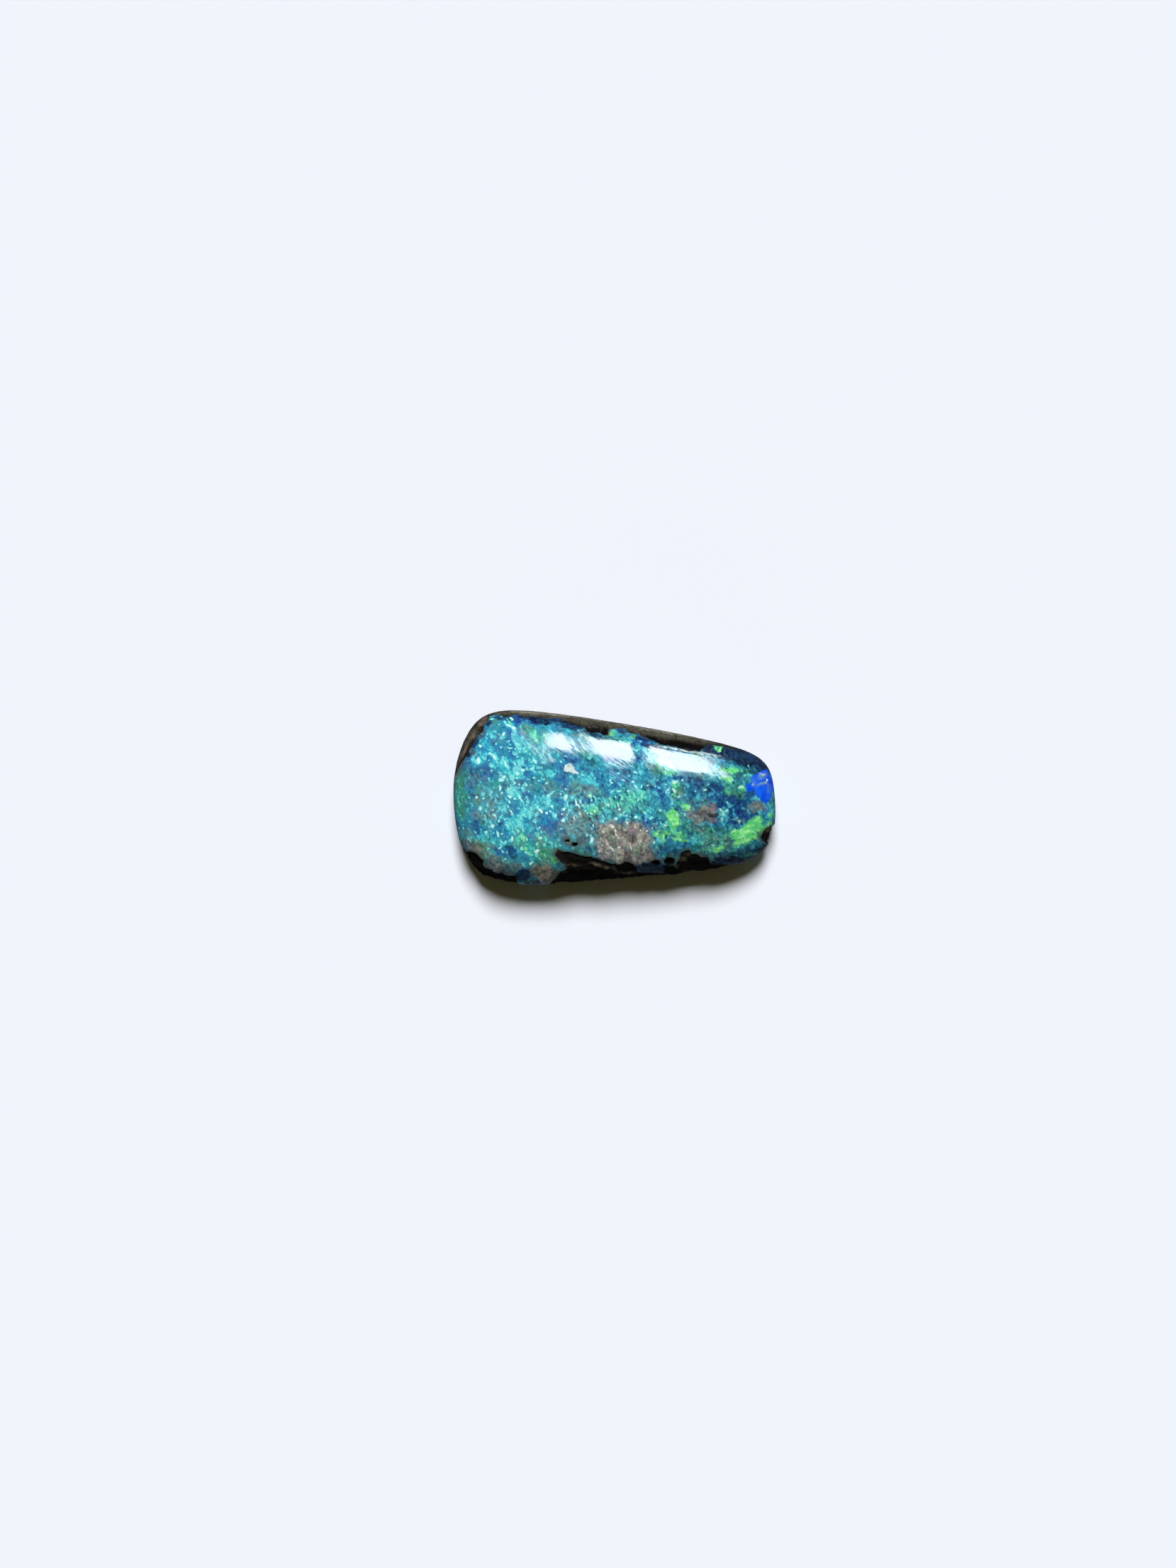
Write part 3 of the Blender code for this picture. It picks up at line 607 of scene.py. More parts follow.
BRIGHT_MARKS = (  # the flecks that catch the eye: white at heart, most of them leaning the same way
    (694, 1015, 2.6, 1.5, 0, 0.8), (719, 1024, 7, 1.6, -35, 1.0), (726, 1027, 3.6, 1.5, -68, 1.0), (722, 1014, 3, 2, -30, 0.9),
    (713, 1018, 3, 1.1, -60, 0.8), (703, 1023, 1.8, 1.3, 0, 0.8), (698, 1032, 2.4, 2.0, 0, 0.6), (711, 1036, 3, 1.8, -60, 0.9),
    (704, 1036, 2, 1.4, 0, 0.6), (677, 1052, 2, 1.5, -20, 0.9), (730, 1049, 6, 1.1, -38, 0.95), (720, 1056, 2.6, 1.2, 0, 0.9),
    (718, 1046, 2, 1.4, 0, 0.7), (693, 1063, 3, 2, -40, 1.0), (697, 1068, 4.4, 2.2, -62, 1.0), (675, 1073, 5, 2.8, -80, 0.9),
    (708, 1053, 1.5, 1.2, 0, 0.7), (700, 1050, 1.5, 1.5, 0, 0.6), (714, 1079, 7, 1.6, -66, 0.9), (726, 1078, 5, 1.2, -70, 0.8),
    (754, 1074, 4.6, 1.8, -65, 1.0), (746, 1073, 2, 1.2, 0, 0.7), (737, 1086, 2.6, 2.0, -40, 0.95), (749, 1085, 2.6, 2.2, 0, 0.7),
    (729, 1091, 4, 3.2, -30, 0.75), (711, 1096, 1.8, 1.8, 0, 1.0), (707, 1100, 4, 3.4, 0, 0.75), (753, 1097, 2.8, 1.6, -10, 0.9),
    (743, 1107, 2.1, 1.2, -60, 1.0), (726, 1105, 1.4, 1.4, 0, 1.0), (705, 1111, 3.6, 2, 80, 0.9), (707, 1118, 1.5, 1.5, 0, 0.9),
    (723, 1113, 2.6, 1.0, -30, 0.9), (771, 1105, 3, 1.2, 40, 0.7), (783, 1091, 1.4, 1.1, 0, 0.8), (778, 1088, 2, 0.9, -20, 0.6),
    (792, 1075, 2.2, 1.0, -40, 0.9), (798, 1067, 2, 1.0, -20, 0.8), (798, 1113, 1.6, 1.3, 0, 0.95), (694, 1081, 3, 2.4, 0, 0.6),
    (694, 1087, 2, 1.8, 0, 0.6), (748, 1043, 4.4, 1.0, -50, 0.7), (748, 1054, 3, 2.2, 0, 0.6), (646, 1102, 3, 1.4, 70, 0.5),
    (678, 1045, 4, 1.8, 60, 0.5), (681, 1036, 2.6, 1.5, 20, 0.5), (660, 1074, 3, 1.8, 0, 0.45), (733, 1111, 1.5, 1.5, 0, 0.7),
    (746, 1116, 1.4, 1.4, 0, 0.8), (652, 1124, 3, 2.4, 0, 0.45), (741, 1071, 2, 1.0, 20, 0.5), (765, 1084, 2, 1.4, 0, 0.5),
    (672, 1125, 1.8, 1.8, 0, 1.0), (719, 1123, 4, 2, -40, 0.85), (719, 1132, 3, 1.5, -70, 0.8), (726, 1127, 2, 1.5, 0, 0.95),
    (735, 1127, 8, 1.9, -55, 0.75), (774, 1122, 3.2, 1.8, 25, 0.95), (781, 1118, 8, 1.6, 32, 0.6), (744, 1125, 3, 1, -50, 0.6),
    (717, 1138, 2.1, 1.2, -60, 1.0), (721, 1145, 4.2, 1.1, -45, 0.95), (677, 1140, 4, 2.4, -80, 0.75), (686, 1142, 2.6, 1, -45, 0.7),
    (696, 1143, 1.4, 1.3, 0, 0.95), (696, 1149, 2.2, 2, 0, 0.9), (710, 1142, 1.6, 1.2, 0, 0.7), (684, 1152, 3.6, 1.0, -60, 0.75),
    (704, 1159, 2, 1.5, 0, 0.95), (706, 1153, 3, 1.8, 60, 0.6), (694, 1165, 3, 2.4, 60, 1.0), (762, 1144, 5.6, 1.9, -42, 1.0),
    (759, 1139, 2, 1.8, 0, 0.9), (772, 1147, 2, 1.5, -30, 0.95), (731, 1172, 3, 2, -80, 0.6), (716, 1165, 3.6, 1.1, -38, 0.8),
    (663, 1165, 2, 1.4, 90, 0.6), (654, 1164, 1.4, 1.2, 0, 0.7), (654, 1168, 1.4, 1.2, 0, 0.8), (647, 1168, 1.4, 1.0, 0, 0.7),
    (670, 1174, 3, 1.5, -40, 0.65), (688, 1181, 2.1, 1.1, 85, 1.0), (681, 1187, 1.6, 1.1, 0, 0.9), (662, 1186, 3, 1.2, -45, 0.8),
    (660, 1182, 2, 1.8, 0, 0.5), (703, 1177, 6, 1.8, -65, 0.75), (705, 1197, 2.6, 1.6, 0, 0.9), (712, 1189, 4, 2.6, 20, 0.6),
    (709, 1202, 4, 1.6, -40, 0.6), (708, 1176, 1.6, 1.2, 30, 0.95), (722, 1184, 4.6, 1.5, 86, 0.9), (744, 1184, 3, 1.5, 85, 0.75),
    (758, 1191, 3, 2.3, 90, 0.6), (762, 1182, 2.2, 1.5, -30, 0.95), (765, 1175, 1.6, 1.0, -30, 0.8), (757, 1201, 4.6, 2.8, 10, 0.95),
    (736, 1195, 1.6, 1.3, 0, 0.85), (745, 1204, 4.6, 2.4, 0, 0.55), (715, 1203, 1.7, 1.2, 80, 1.0), (749, 1217, 3.6, 1.8, 25, 0.95),
    (784, 1193, 2.5, 1.0, -80, 0.7), (788, 1186, 1.5, 1.5, 0, 0.6), (792, 1149, 1.6, 1.2, -50, 0.9), (795, 1142, 3, 2, 50, 0.95),
    (794, 1157, 2.8, 2, 20, 0.8), (784, 1151, 3, 2.4, 90, 0.6), (799, 1124, 5, 3.4, 80, 0.7), (791, 1168, 1.3, 1.1, 0, 0.9),
    (805, 1095, 2, 1.5, 0, 0.6), (822, 1093, 4.2, 1.2, -40, 0.7), (839, 1098, 1.5, 1.2, 0, 0.9), (836, 1103, 1.5, 1.5, 0, 0.6),
    (861, 1101, 2.6, 1.3, 40, 0.9), (863, 1104, 1.8, 1.2, -20, 0.95), (872, 1092, 2.6, 1.5, -20, 0.75), (888, 1095, 2, 1.2, 0, 0.75),
    (896, 1090, 2.6, 1.3, -10, 1.0), (880, 1101, 3, 1, -30, 0.85), (892, 1102, 2, 1.5, 0, 1.0), (896, 1110, 4.6, 1, -45, 1.0),
    (905, 1110, 3.6, 1, -50, 0.85), (913, 1109, 2, 1, 0, 1.0), (924, 1109, 1.6, 1.1, -30, 0.95), (928, 1101, 1.1, 1, 0, 0.9),
    (939, 1117, 1.8, 1, -15, 1.0), (938, 1108, 2, 1, 10, 0.6), (873, 1117, 2.6, 1.3, -10, 0.9), (864, 1117, 4, 2.2, 20, 0.65),
    (870, 1113, 3, 1, 0, 0.5), (886, 1116, 2.6, 1.9, 40, 0.75), (877, 1127, 3, 2.4, 90, 0.6), (884, 1125, 4, 2.2, -30, 0.5),
    (894, 1121, 4, 2.6, -80, 0.55), (868, 1124, 3, 1, -60, 0.8), (872, 1135, 3.6, 1.3, -75, 0.85), (874, 1141, 2, 1.7, -30, 0.95),
    (858, 1136, 3, 2.4, -60, 0.8), (851, 1139, 2.4, 2, 0, 0.6), (884, 1139, 2.6, 1, 0, 0.85), (875, 1149, 2.6, 2, 0, 0.9),
    (880, 1146, 3, 1.3, 40, 0.7), (868, 1155, 3, 2.8, 0, 0.75), (851, 1157, 2.6, 1.2, -45, 0.8), (864, 1166, 4.4, 3, -20, 0.8),
    (868, 1172, 2.6, 1.8, -60, 0.75), (898, 1153, 2, 2, 0, 0.95), (885, 1161, 4.2, 1.4, -50, 0.85), (886, 1157, 3, 1, -20, 0.6),
    (896, 1166, 4, 1.2, 88, 0.7), (890, 1153, 1.4, 1, 0, 0.8), (903, 1171, 1.2, 1.1, 0, 0.95), (912, 1172, 1.6, 1.3, 80, 1.0),
    (922, 1190, 2.1, 1.1, -10, 0.95), (838, 1143, 2.4, 1.4, -70, 0.85), (843, 1141, 3, 1.1, 80, 0.7), (834, 1147, 2.2, 1.5, 20, 0.75),
    (829, 1147, 2.2, 1.1, 10, 0.9), (837, 1165, 1.8, 1.2, -40, 1.0), (829, 1178, 2, 1.4, -70, 0.75), (835, 1185, 3.6, 3.0, -40, 0.85),
    (813, 1133, 7, 1.8, -62, 1.0), (820, 1132, 4.6, 1.2, -68, 0.8), (819, 1149, 2.2, 1.2, -50, 0.95), (811, 1153, 4, 1, -75, 0.95),
    (802, 1113, 2.6, 1, -40, 0.6), (800, 1134, 3, 1.1, -75, 0.7), (824, 1139, 2.2, 1.8, 0, 0.5), (842, 1130, 2, 1.1, -70, 0.6),
    (832, 1123, 3.4, 2.4, 0, 0.7), (839, 1124, 3.2, 1.2, -50, 0.85), (800, 1150, 1.6, 1.2, 0, 0.6), (804, 1164, 1.6, 1.4, 0, 0.5),
    (863, 1198, 5, 1.3, -45, 0.95), (873, 1196, 2, 1.5, 0, 1.0), (877, 1205, 3, 1.0, -35, 0.75), (874, 1201, 3, 1.0, -80, 0.6),
    (857, 1190, 6, 2.2, -80, 0.6), (849, 1184, 4, 2, -70, 0.5), (846, 1201, 2.4, 1.6, 30, 0.65), (855, 1203, 4, 1.1, -30, 0.6),
    (852, 1174, 3.4, 2, -60, 0.7), (870, 1178, 4.4, 1.0, -60, 0.7), (872, 1183, 1.4, 1.2, 0, 0.9), (865, 1181, 3.4, 1.1, -60, 0.65),
    (889, 1195, 6, 1.0, -60, 0.9), (903, 1186, 3, 2.4, 20, 0.6), (908, 1189, 1.6, 1.4, 0, 0.6), (878, 1181, 3, 1.5, 40, 0.65),
    (848, 1166, 3, 2, 30, 0.45), (892, 1207, 3, 1.4, 10, 0.45), (882, 1170, 4, 1.6, 10, 0.45), (856, 1168, 1.4, 2.0, 0, 0.5),
    (952, 1104, 4, 2.4, -50, 0.85), (955, 1102, 2, 1.6, 0, 0.9), (963, 1100, 2, 1.5, 0, 0.9), (956, 1094, 3, 1, 10, 0.6),
    (946, 1094, 2.6, 1.2, -40, 0.7), (951, 1116, 4, 2, -70, 0.8), (948, 1121, 2, 1.5, 0, 0.7), (943, 1118, 1.4, 1.2, 0, 0.95),
    (958, 1124, 2, 1.3, -70, 0.75), (965, 1113, 1.5, 1.0, 0, 0.95), (967, 1121, 1.2, 1.0, 0, 0.7), (981, 1116, 1.2, 1.1, 0, 1.0),
    (984, 1122, 1.4, 1.0, 0, 0.6), (995, 1114, 2.6, 1.3, 0, 0.95), (999, 1107, 2.6, 1.4, 20, 0.6), (993, 1120, 2, 1.0, 0, 0.6),
    (971, 1140, 5, 2.2, -65, 0.65), (966, 1149, 1.6, 1.5, 0, 0.95), (962, 1143, 1.8, 1.4, 0, 0.6), (909, 1147, 5, 2.4, -50, 0.6),
    (919, 1155, 3.4, 2.4, 60, 0.65), (926, 1176, 2.6, 2.2, 0, 0.7), (936, 1181, 4.4, 1.6, -65, 0.75), (955, 1183, 5, 1.8, -25, 0.5),
    (942, 1147, 3, 1.6, 70, 0.6), (948, 1171, 2.4, 1.8, 0, 0.5), (961, 1160, 2.4, 2.2, 0, 0.5), (931, 1155, 1.5, 1.4, 0, 0.6),
    (938, 1144, 1.4, 1.2, 0, 0.8), (1016, 1056.6, 2.2, 1.0, 25, 0.9), (1010, 1055, 3, 0.8, -30, 0.6), (1008, 1066, 5, 1.0, -35, 0.5),
    (1056, 1080, 2.2, 1.3, -70, 0.6), (1051, 1094, 2.6, 2, 0, 0.5), (1022, 1095, 8, 1.7, -26, 0.95), (1030, 1102, 5, 2, -30, 0.7),
    (1030, 1084, 6, 1.0, 10, 0.55), (1037, 1087, 3.6, 1.1, -30, 0.6), (1046, 1110, 4.4, 2.6, 35, 0.72), (1019, 1118, 2.2, 1.5, 0, 0.5),
    (1017, 1143, 4, 1.6, -48, 0.95), (1021, 1148, 3, 1.8, -70, 0.9), (1025, 1143, 3, 2.2, 0, 0.65), (1019, 1155, 3.2, 2.2, 80, 0.75),
    (1026, 1133, 2, 1.3, -60, 0.7), (1035, 1136, 2.6, 1.0, 0, 0.4), (1034, 1156, 1.6, 1.3, 0, 0.6), (1043, 1158, 2.2, 1.8, 0, 0.7),
    (1086, 1149, 3.2, 2.4, 80, 0.5), (1067, 1124, 2.4, 1.2, -45, 0.5), (1044, 1174, 6, 1.2, -30, 0.7), (1047, 1180, 6, 1.2, 12, 0.7),
    (1064, 1174, 3.4, 1.2, -35, 0.7), (1056, 1170, 4, 1.0, 25, 0.5), (992, 1170, 1.4, 1.2, 0, 0.7), (981, 1172, 2.4, 1.4, 20, 0.45),
    (1008, 1093, 5, 1.4, -30, 0.7), (1015, 1096, 4, 1.6, -28, 0.8), (964, 1137, 1.8, 3.2, 0, 0.6), (973, 1138, 1.6, 3.6, 20, 0.6),
    (1016, 1196, 2.6, 1.6, 0, 0.55), (957, 1182, 3, 1.2, -20, 0.6), (968, 1184, 3, 1.2, 0, 0.5),
)
DARK_MARKS = (  # dark blue and navy spots between the flecks
    (719, 1036, 5, 4, 0, 0.5), (725, 1061, 6, 5, 0, 0.35), (685, 1083, 8, 3.5, 0, 0.5), (752, 1020, 5, 4.5, 0, 0.7),
    (730, 1018, 4, 4, 0, 0.6), (755, 1095, 8, 4, -10, 0.4), (748, 1101, 4, 4, 0, 0.4), (711, 1109, 4, 3, 0, 0.6),
    (762, 1078, 4, 4, 0, 0.5), (703, 1032, 5, 4, 0, 0.45), (669, 1055, 5, 8, -20, 0.5), (669, 1120, 6, 5, 0, 0.5),
    (664, 1132, 5, 10, 0, 0.4), (706, 1163, 6, 5, -20, 0.7), (718, 1196, 6, 6, 30, 0.85), (723, 1207, 4, 6, 20, 0.95),
    (700, 1200, 4, 2.4, -20, 0.8), (684, 1163, 8, 5, 0, 0.35), (758, 1172, 5, 4, 0, 0.6), (783, 1163, 5, 6, 0, 0.6),
    (767, 1136, 7, 6, 0, 0.35), (749, 1144, 4, 4, 0, 0.4), (716, 1152, 7, 4, 0, 0.4), (838, 1128, 3, 5.4, 20, 0.95),
    (806, 1132, 4, 3.4, 0, 0.8), (809, 1143, 8, 4.5, -10, 0.6), (860, 1112, 10, 3.6, -10, 0.45), (855, 1123, 5, 5, 0, 0.4),
    (884, 1107, 3.4, 5, -30, 0.5), (908, 1098, 5, 3, 0, 0.3), (948, 1127, 5, 4, 0, 0.3), (830, 1185, 2.6, 6, 0, 0.6),
    (828, 1196, 3, 5, 0, 0.7), (863, 1128, 3, 4, 0, 0.45), (918, 1166, 4, 7, 20, 0.6), (942, 1164, 3.4, 5, 0, 0.45),
    (968, 1167, 6, 5, 0, 0.45), (967, 1190, 6, 3, -20, 0.6), (990, 1103, 6, 5, 0, 0.6), (1002, 1113, 7, 4.5, 0, 0.85),
    (1018, 1110, 5, 4, -20, 0.85), (1013, 1103, 4, 3, 0, 0.6), (977, 1119, 5, 3.6, 0, 0.65), (985, 1130, 5, 5, 0, 0.6),
    (1008, 1124, 7, 5, 0, 0.35), (1028, 1153, 5, 6, 0, 0.4), (975, 1133, 2.4, 5, 30, 0.7), (1042, 1096, 5, 4.4, -30, 0.75),
    (975, 1179, 5, 3.6, 0, 0.7), (938, 1191, 8, 4, -10, 0.5), (955, 1204, 6, 4, 0, 0.6), (1012, 1170, 7, 4, 20, 0.35),
    (1013, 1107, 9, 4, -12, 0.75), (1003, 1113, 8, 5, 0, 0.6), (976, 1110, 8, 6, 0, 0.5), (1068, 1176, 3.4, 1.8, -30, 0.8), (1035, 1200, 8, 4, 0, 0.45), (1057, 1193, 6, 4, 30, 0.6), (986, 1156, 4, 3, 0, 0.5),
    (1000, 1130, 5, 4, 0, 0.5), (1052, 1133, 6, 4, 0, 0.35), (1088, 1128, 3, 8, 0, 0.6), (1016, 1066, 6, 3, -30, 0.6),
    (868, 1188, 4, 4, 0, 0.3), (800, 1102, 5, 3, 0, 0.3), (842, 1113, 3, 3, 0, 0.5), (902, 1134, 5, 4, 0, 0.25),
)
WHITE_PATCHES = (  # small milky spots
    (803, 1082.5, 7.0, 6.2, -15, 1.0), (808, 1086.5, 5.6, 4.0, -35, 1.0), (799, 1085.5, 3.6, 3.0, 0, 0.9), (813, 1089.5, 4.0, 1.8, -35, 0.8),
    (1082, 1101, 2.6, 2.2, 0, 0.8), (1061.5, 1107, 2.2, 2.2, 0, 0.5),
    (1075, 1092, 7, 2.0, -15, 0.5), (1076, 1105, 7, 1.6, 2, 0.45), (697, 1212, 3, 2.5, 0, 0.35), (878, 1083, 4, 2.5, -30, 0.4),
)
# The strip of polished ironstone along the far flank: its own brown, with the paler outer edge partly a painted sheen,
# where the polish would mirror the pale floor.
STRIP_BROWN_AND_SHEEN = (
    (705, 1003.5, 24, 5.5, -2, 0.95), (745, 1005.5, 28, 6.0, -4, 0.95), (788, 1009.5, 28, 7.0, -7, 0.95), (828, 1015, 26, 7.5, -8, 0.95),
    (866, 1021, 24, 7.5, -10, 0.95), (902, 1028, 24, 8.0, -12, 0.95), (936, 1034.5, 22, 8.0, -12, 0.95), (966, 1040, 22, 7.5, -12, 0.9),
    (998, 1046, 20, 5.0, -11, 0.7), (1022, 1050.5, 16, 3.4, -13, 0.5),
)
# A pale line along the strip's outer edge: a painted sheen, standing for the pale floor that a polished rim mirrors.
STRIP_RIM_PAINTED_SHEEN = (
    (1.6, 1.0, ((722, 1003), (745, 1004), (780, 1007), (812, 1010.5))), (1.2, 0.6, ((812, 1010.5), (835, 1014), (860, 1018))),
    (1.8, 0.9, ((872, 1020), (900, 1024.5), (930, 1030.5), (948, 1034))), (1.3, 0.7, ((948, 1034), (975, 1039), (1000, 1044))),
)
IRONSTONE_TAN = (
    (664, 1040, 8, 16, -35, 0.85), (650, 1068, 5, 16, -25, 0.8), (680, 1018, 8, 6, 30, 0.8), (672, 1012, 8, 8, 30, 0.7),
    (806, 1222.5, 13, 2.0, -4, 0.5), (847, 1222.5, 13, 1.9, -14, 0.9), (867, 1228.5, 5.5, 2.2, -60, 0.85), (884, 1233.5, 12, 1.5, -2, 0.85),
    (797, 1232, 2.2, 1.4, 0, 0.6), (961, 1214, 7, 4.0, 15, 0.8), (955, 1224, 3, 3, 0, 0.8), (1086, 1171, 5, 4, 20, 0.8),
    (972, 1205, 5, 3, 0, 0.5), (790, 1203, 6, 2.5, 0, 0.35), (975, 1232, 10, 1.5, 0, 0.35),
)
PINK_TAN = ((677, 1022, 3.5, 2.5, 40, 0.7), (656, 1058, 2.0, 10, -22, 0.7), (667, 1038, 2.5, 5, -35, 0.5), (683, 1013, 4, 2.5, 20, 0.5))
# Near-black patches along the inner side of the far strip, next to the opal, and at the far left end.
STRIP_BLACK = (
    (966, 1052.5, 36, 7.0, -12, 1.0), (927, 1045.5, 24, 5.0, -16, 1.0), (900, 1039, 12, 2.6, -14, 0.7), (802, 1021, 18, 2.2, -10, 0.6),
    (752, 1013.5, 26, 1.8, -5, 0.6), (715, 1010.5, 20, 1.6, -2, 0.5), (836, 1030, 12, 4.2, -5, 0.95), (853, 1031, 5, 6, 0, 0.8),
    (1010, 1052, 18, 2.2, -10, 0.6), (664, 1050, 3, 8, -35, 0.7), (652, 1073, 3, 9, -30, 0.7),
)
CRACKS = (
    (0.9, 1.0, ((843, 1018), (846, 1021), (849, 1024), (849, 1028), (847, 1032))),
    (0.8, 0.8, ((944, 1056), (958, 1058.5), (975, 1061.5), (990, 1065))),
)


def lay_out(points, normals, rings, beyond, picture):
    """Every named field over the surface, from 0 to 1, and how deep each point is set back in millimetres."""
    fields = {}
    wander = np.stack((noise(points, 0.55, 11), noise(points, 0.55, 23)), -1)
    shiver = np.stack((noise(points, 0.20, 31, 2), noise(points, 0.20, 43, 2)), -1)
    rough_place = picture + 0.5 * wander + 0.8 * shiver
    loose_place = picture + 3.0 * wander + 1.6 * shiver

    # Signed distance to the contact, in pixels, positive in the ironstone.
    contact = np.maximum.reduce([
        signed_distance(rough_place, UPPER_IRONSTONE),
        signed_distance(rough_place, LOWER_LEFT_IRONSTONE),
        signed_distance(rough_place, LOWER_IRONSTONE),
        signed_distance(rough_place, RIGHT_END_IRONSTONE),
        -signed_distance(picture + 9.0 * wander + 2.5 * shiver, OPAL_REACH),
    ])
    hollow = np.zeros(len(points))
    for x, y, half_width, half_height, turn in SMALL_HOLLOWS:
        away = oval(rough_place, x, y, half_width, half_height, turn)
        contact = np.maximum(contact, (1.0 - away) * min(half_width, half_height))
        hollow = np.maximum(hollow, ease(away, 1.1, 0.5))
    fields["contact"] = np.clip(contact, -12.0, 12.0)
    iron = ease(contact, -0.8, 0.8)

    fields["green_flash"] = np.maximum(
        patches(loose_place, GREEN_FLASH, 0.6), ease(signed_distance(loose_place, GREEN_FLASH_OUTLINE), -4.0, 4.0)
    )
    fields["vivid"] = ease(signed_distance(picture + 0.5 * shiver, VIVID_BLUE_OUTLINE), -1.0, 1.0)
    fields["deep"] = patches(loose_place, DEEP_BLUE, 0.65)
    fields["royal"] = patches(loose_place, ROYAL_BLUE, 0.65)
    fields["navy"] = patches(loose_place, NAVY, 0.5)
    fields["haze"] = patches(loose_place, HAZE, 0.65)
    fields["brown"] = patches(loose_place, BROWN, 0.45)
    fields["dark_brown"] = patches(loose_place, DARK_BROWN, 0.5)
    fields["pink"] = patches(rough_place, PINK, 0.4)
    fields["cyan_flash"] = patches(loose_place, CYAN_FLASH, 0.65)
    fields["green_tint"] = patches(loose_place, GREEN_TINT, 0.65)
    fields["calm"] = patches(loose_place, SMOOTH_BLUE, 0.5)
    fields["flecks"] = patches(loose_place, DENSE_FLECKS, 0.5)
    fields["dim_and_edge_shade"] = patches(loose_place, DIM_AND_EDGE_SHADE, 0.6)
    fields["scuff_and_glare"] = patches(loose_place, POLISH_SCUFF_AND_GLARE, 0.5)
    fields["bright"] = patches(picture + 0.5 * wander + 1.2 * shiver, BRIGHT_MARKS, 0.7)
    fields["dark"] = patches(picture + 3.0 * wander + 3.0 * shiver, DARK_MARKS, 0.9)
    fields["milk"] = patches(picture + 0.6 * wander + 1.4 * shiver, WHITE_PATCHES, 0.3)
    strip = patches(picture + 0.6 * wander + 1.0 * shiver, STRIP_BROWN_AND_SHEEN, 0.95)
    fields["tan"] = np.maximum(patches(picture + 1.0 * wander + 1.2 * shiver, IRONSTONE_TAN, 0.6), strip)
    fields["lively"] = ease(picture[:, 0], 780.0, 850.0)
    fields["rim"] = strokes(picture + 0.5 * wander + 0.8 * shiver, STRIP_RIM_PAINTED_SHEEN, 0.9)
    fields["pink_tan"] = patches(rough_place, PINK_TAN, 0.5)
    fields["near_black"] = patches(rough_place, STRIP_BLACK, 0.5)

    # Relief. The lower flank's ironstone is broken and rough; the upper strip is polished with the opal.
    upper = ease(picture[:, 1], 1150.0, 1120.0)
    ground = ease(beyond, 0.5, 1.1)  # under the girdle the stone is roughly ground
    broken = iron * (1.0 - upper)
    step = 0.11 + 0.05 * noise(points, 1.1, 51, 2)
    lumps = 0.07 * noise(points, 0.85, 61, 4, 0.6) + 0.03 * noise(points, 0.22, 71, 2)
    depth = broken * (step * ease(contact, -1.0, 3.0) + lumps * ease(contact, 0.0, 5.0) * (1.0 - 0.6 * ground))
    depth -= broken * 0.055 * fields["tan"]
    depth += upper * iron * (0.012 + 0.006 * noise(points, 0.4, 81, 3) + ground * 0.03 * noise(points, 0.7, 91, 4, 0.6))
    depth += 0.10 * hollow
    cracks = strokes(picture + 0.6 * shiver, CRACKS)
    depth += 0.035 * cracks
    depth += 0.02 * fields["near_black"] * upper * iron
    fields["crack"] = cracks
    fields["polished"] = upper * (1.0 - ground)
    fields["hollow"] = hollow
    # The opal itself keeps a trace of its grown surface under the polish.
    depth += (1.0 - iron) * 0.0020 * noise(points, 0.9, 101, 2)
    return fields, depth


# ---------------------------------------------------------------------- build
def make_stone():
    points, faces, base, rings, turns, fractions = stone_form()
    normals = point_normals(points, faces)
    picture, beyond = unrolled_picture(points, normals, rings)
    fields, depth = lay_out(points, normals, rings, beyond, picture)

    flat = rings > CROWN_RINGS + UNDER_RINGS - 1
    near_base = ease(points[:, 2], 0.0, 0.35)
    moved = points - normals * (depth * np.where(flat, 0.0, near_base))[:, None]
    moved[:, 2] = np.where(flat, 0.0, np.maximum(moved[:, 2], 0.0))
    low, high = (np.array(corner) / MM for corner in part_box("pipe_opal"))
    moved = np.clip(moved, low, high)

    mesh = bpy.data.meshes.new("pipe_opal_stone")
    mesh.from_pydata((moved * MM).tolist(), [], faces.tolist() + [base.tolist()])
    mesh.update()
    for name, values in fields.items():
        mesh.attributes.new(name, "FLOAT", "POINT").data.foreach_set("value", values.astype(np.float32))
    mesh.attributes.new("place", "FLOAT_VECTOR", "POINT").data.foreach_set("vector", moved.astype(np.float32).ravel())
    lay_bake_map(mesh, points, rings, turns)
    mesh.polygons.foreach_set("use_smooth", [True] * len(mesh.polygons))
    mesh.set_sharp_from_angle(angle=math.radians(55.0))
    stone = bpy.data.objects.new("pipe_opal_stone", mesh)
    bpy.context.scene.collection.objects.link(stone)
    return stone


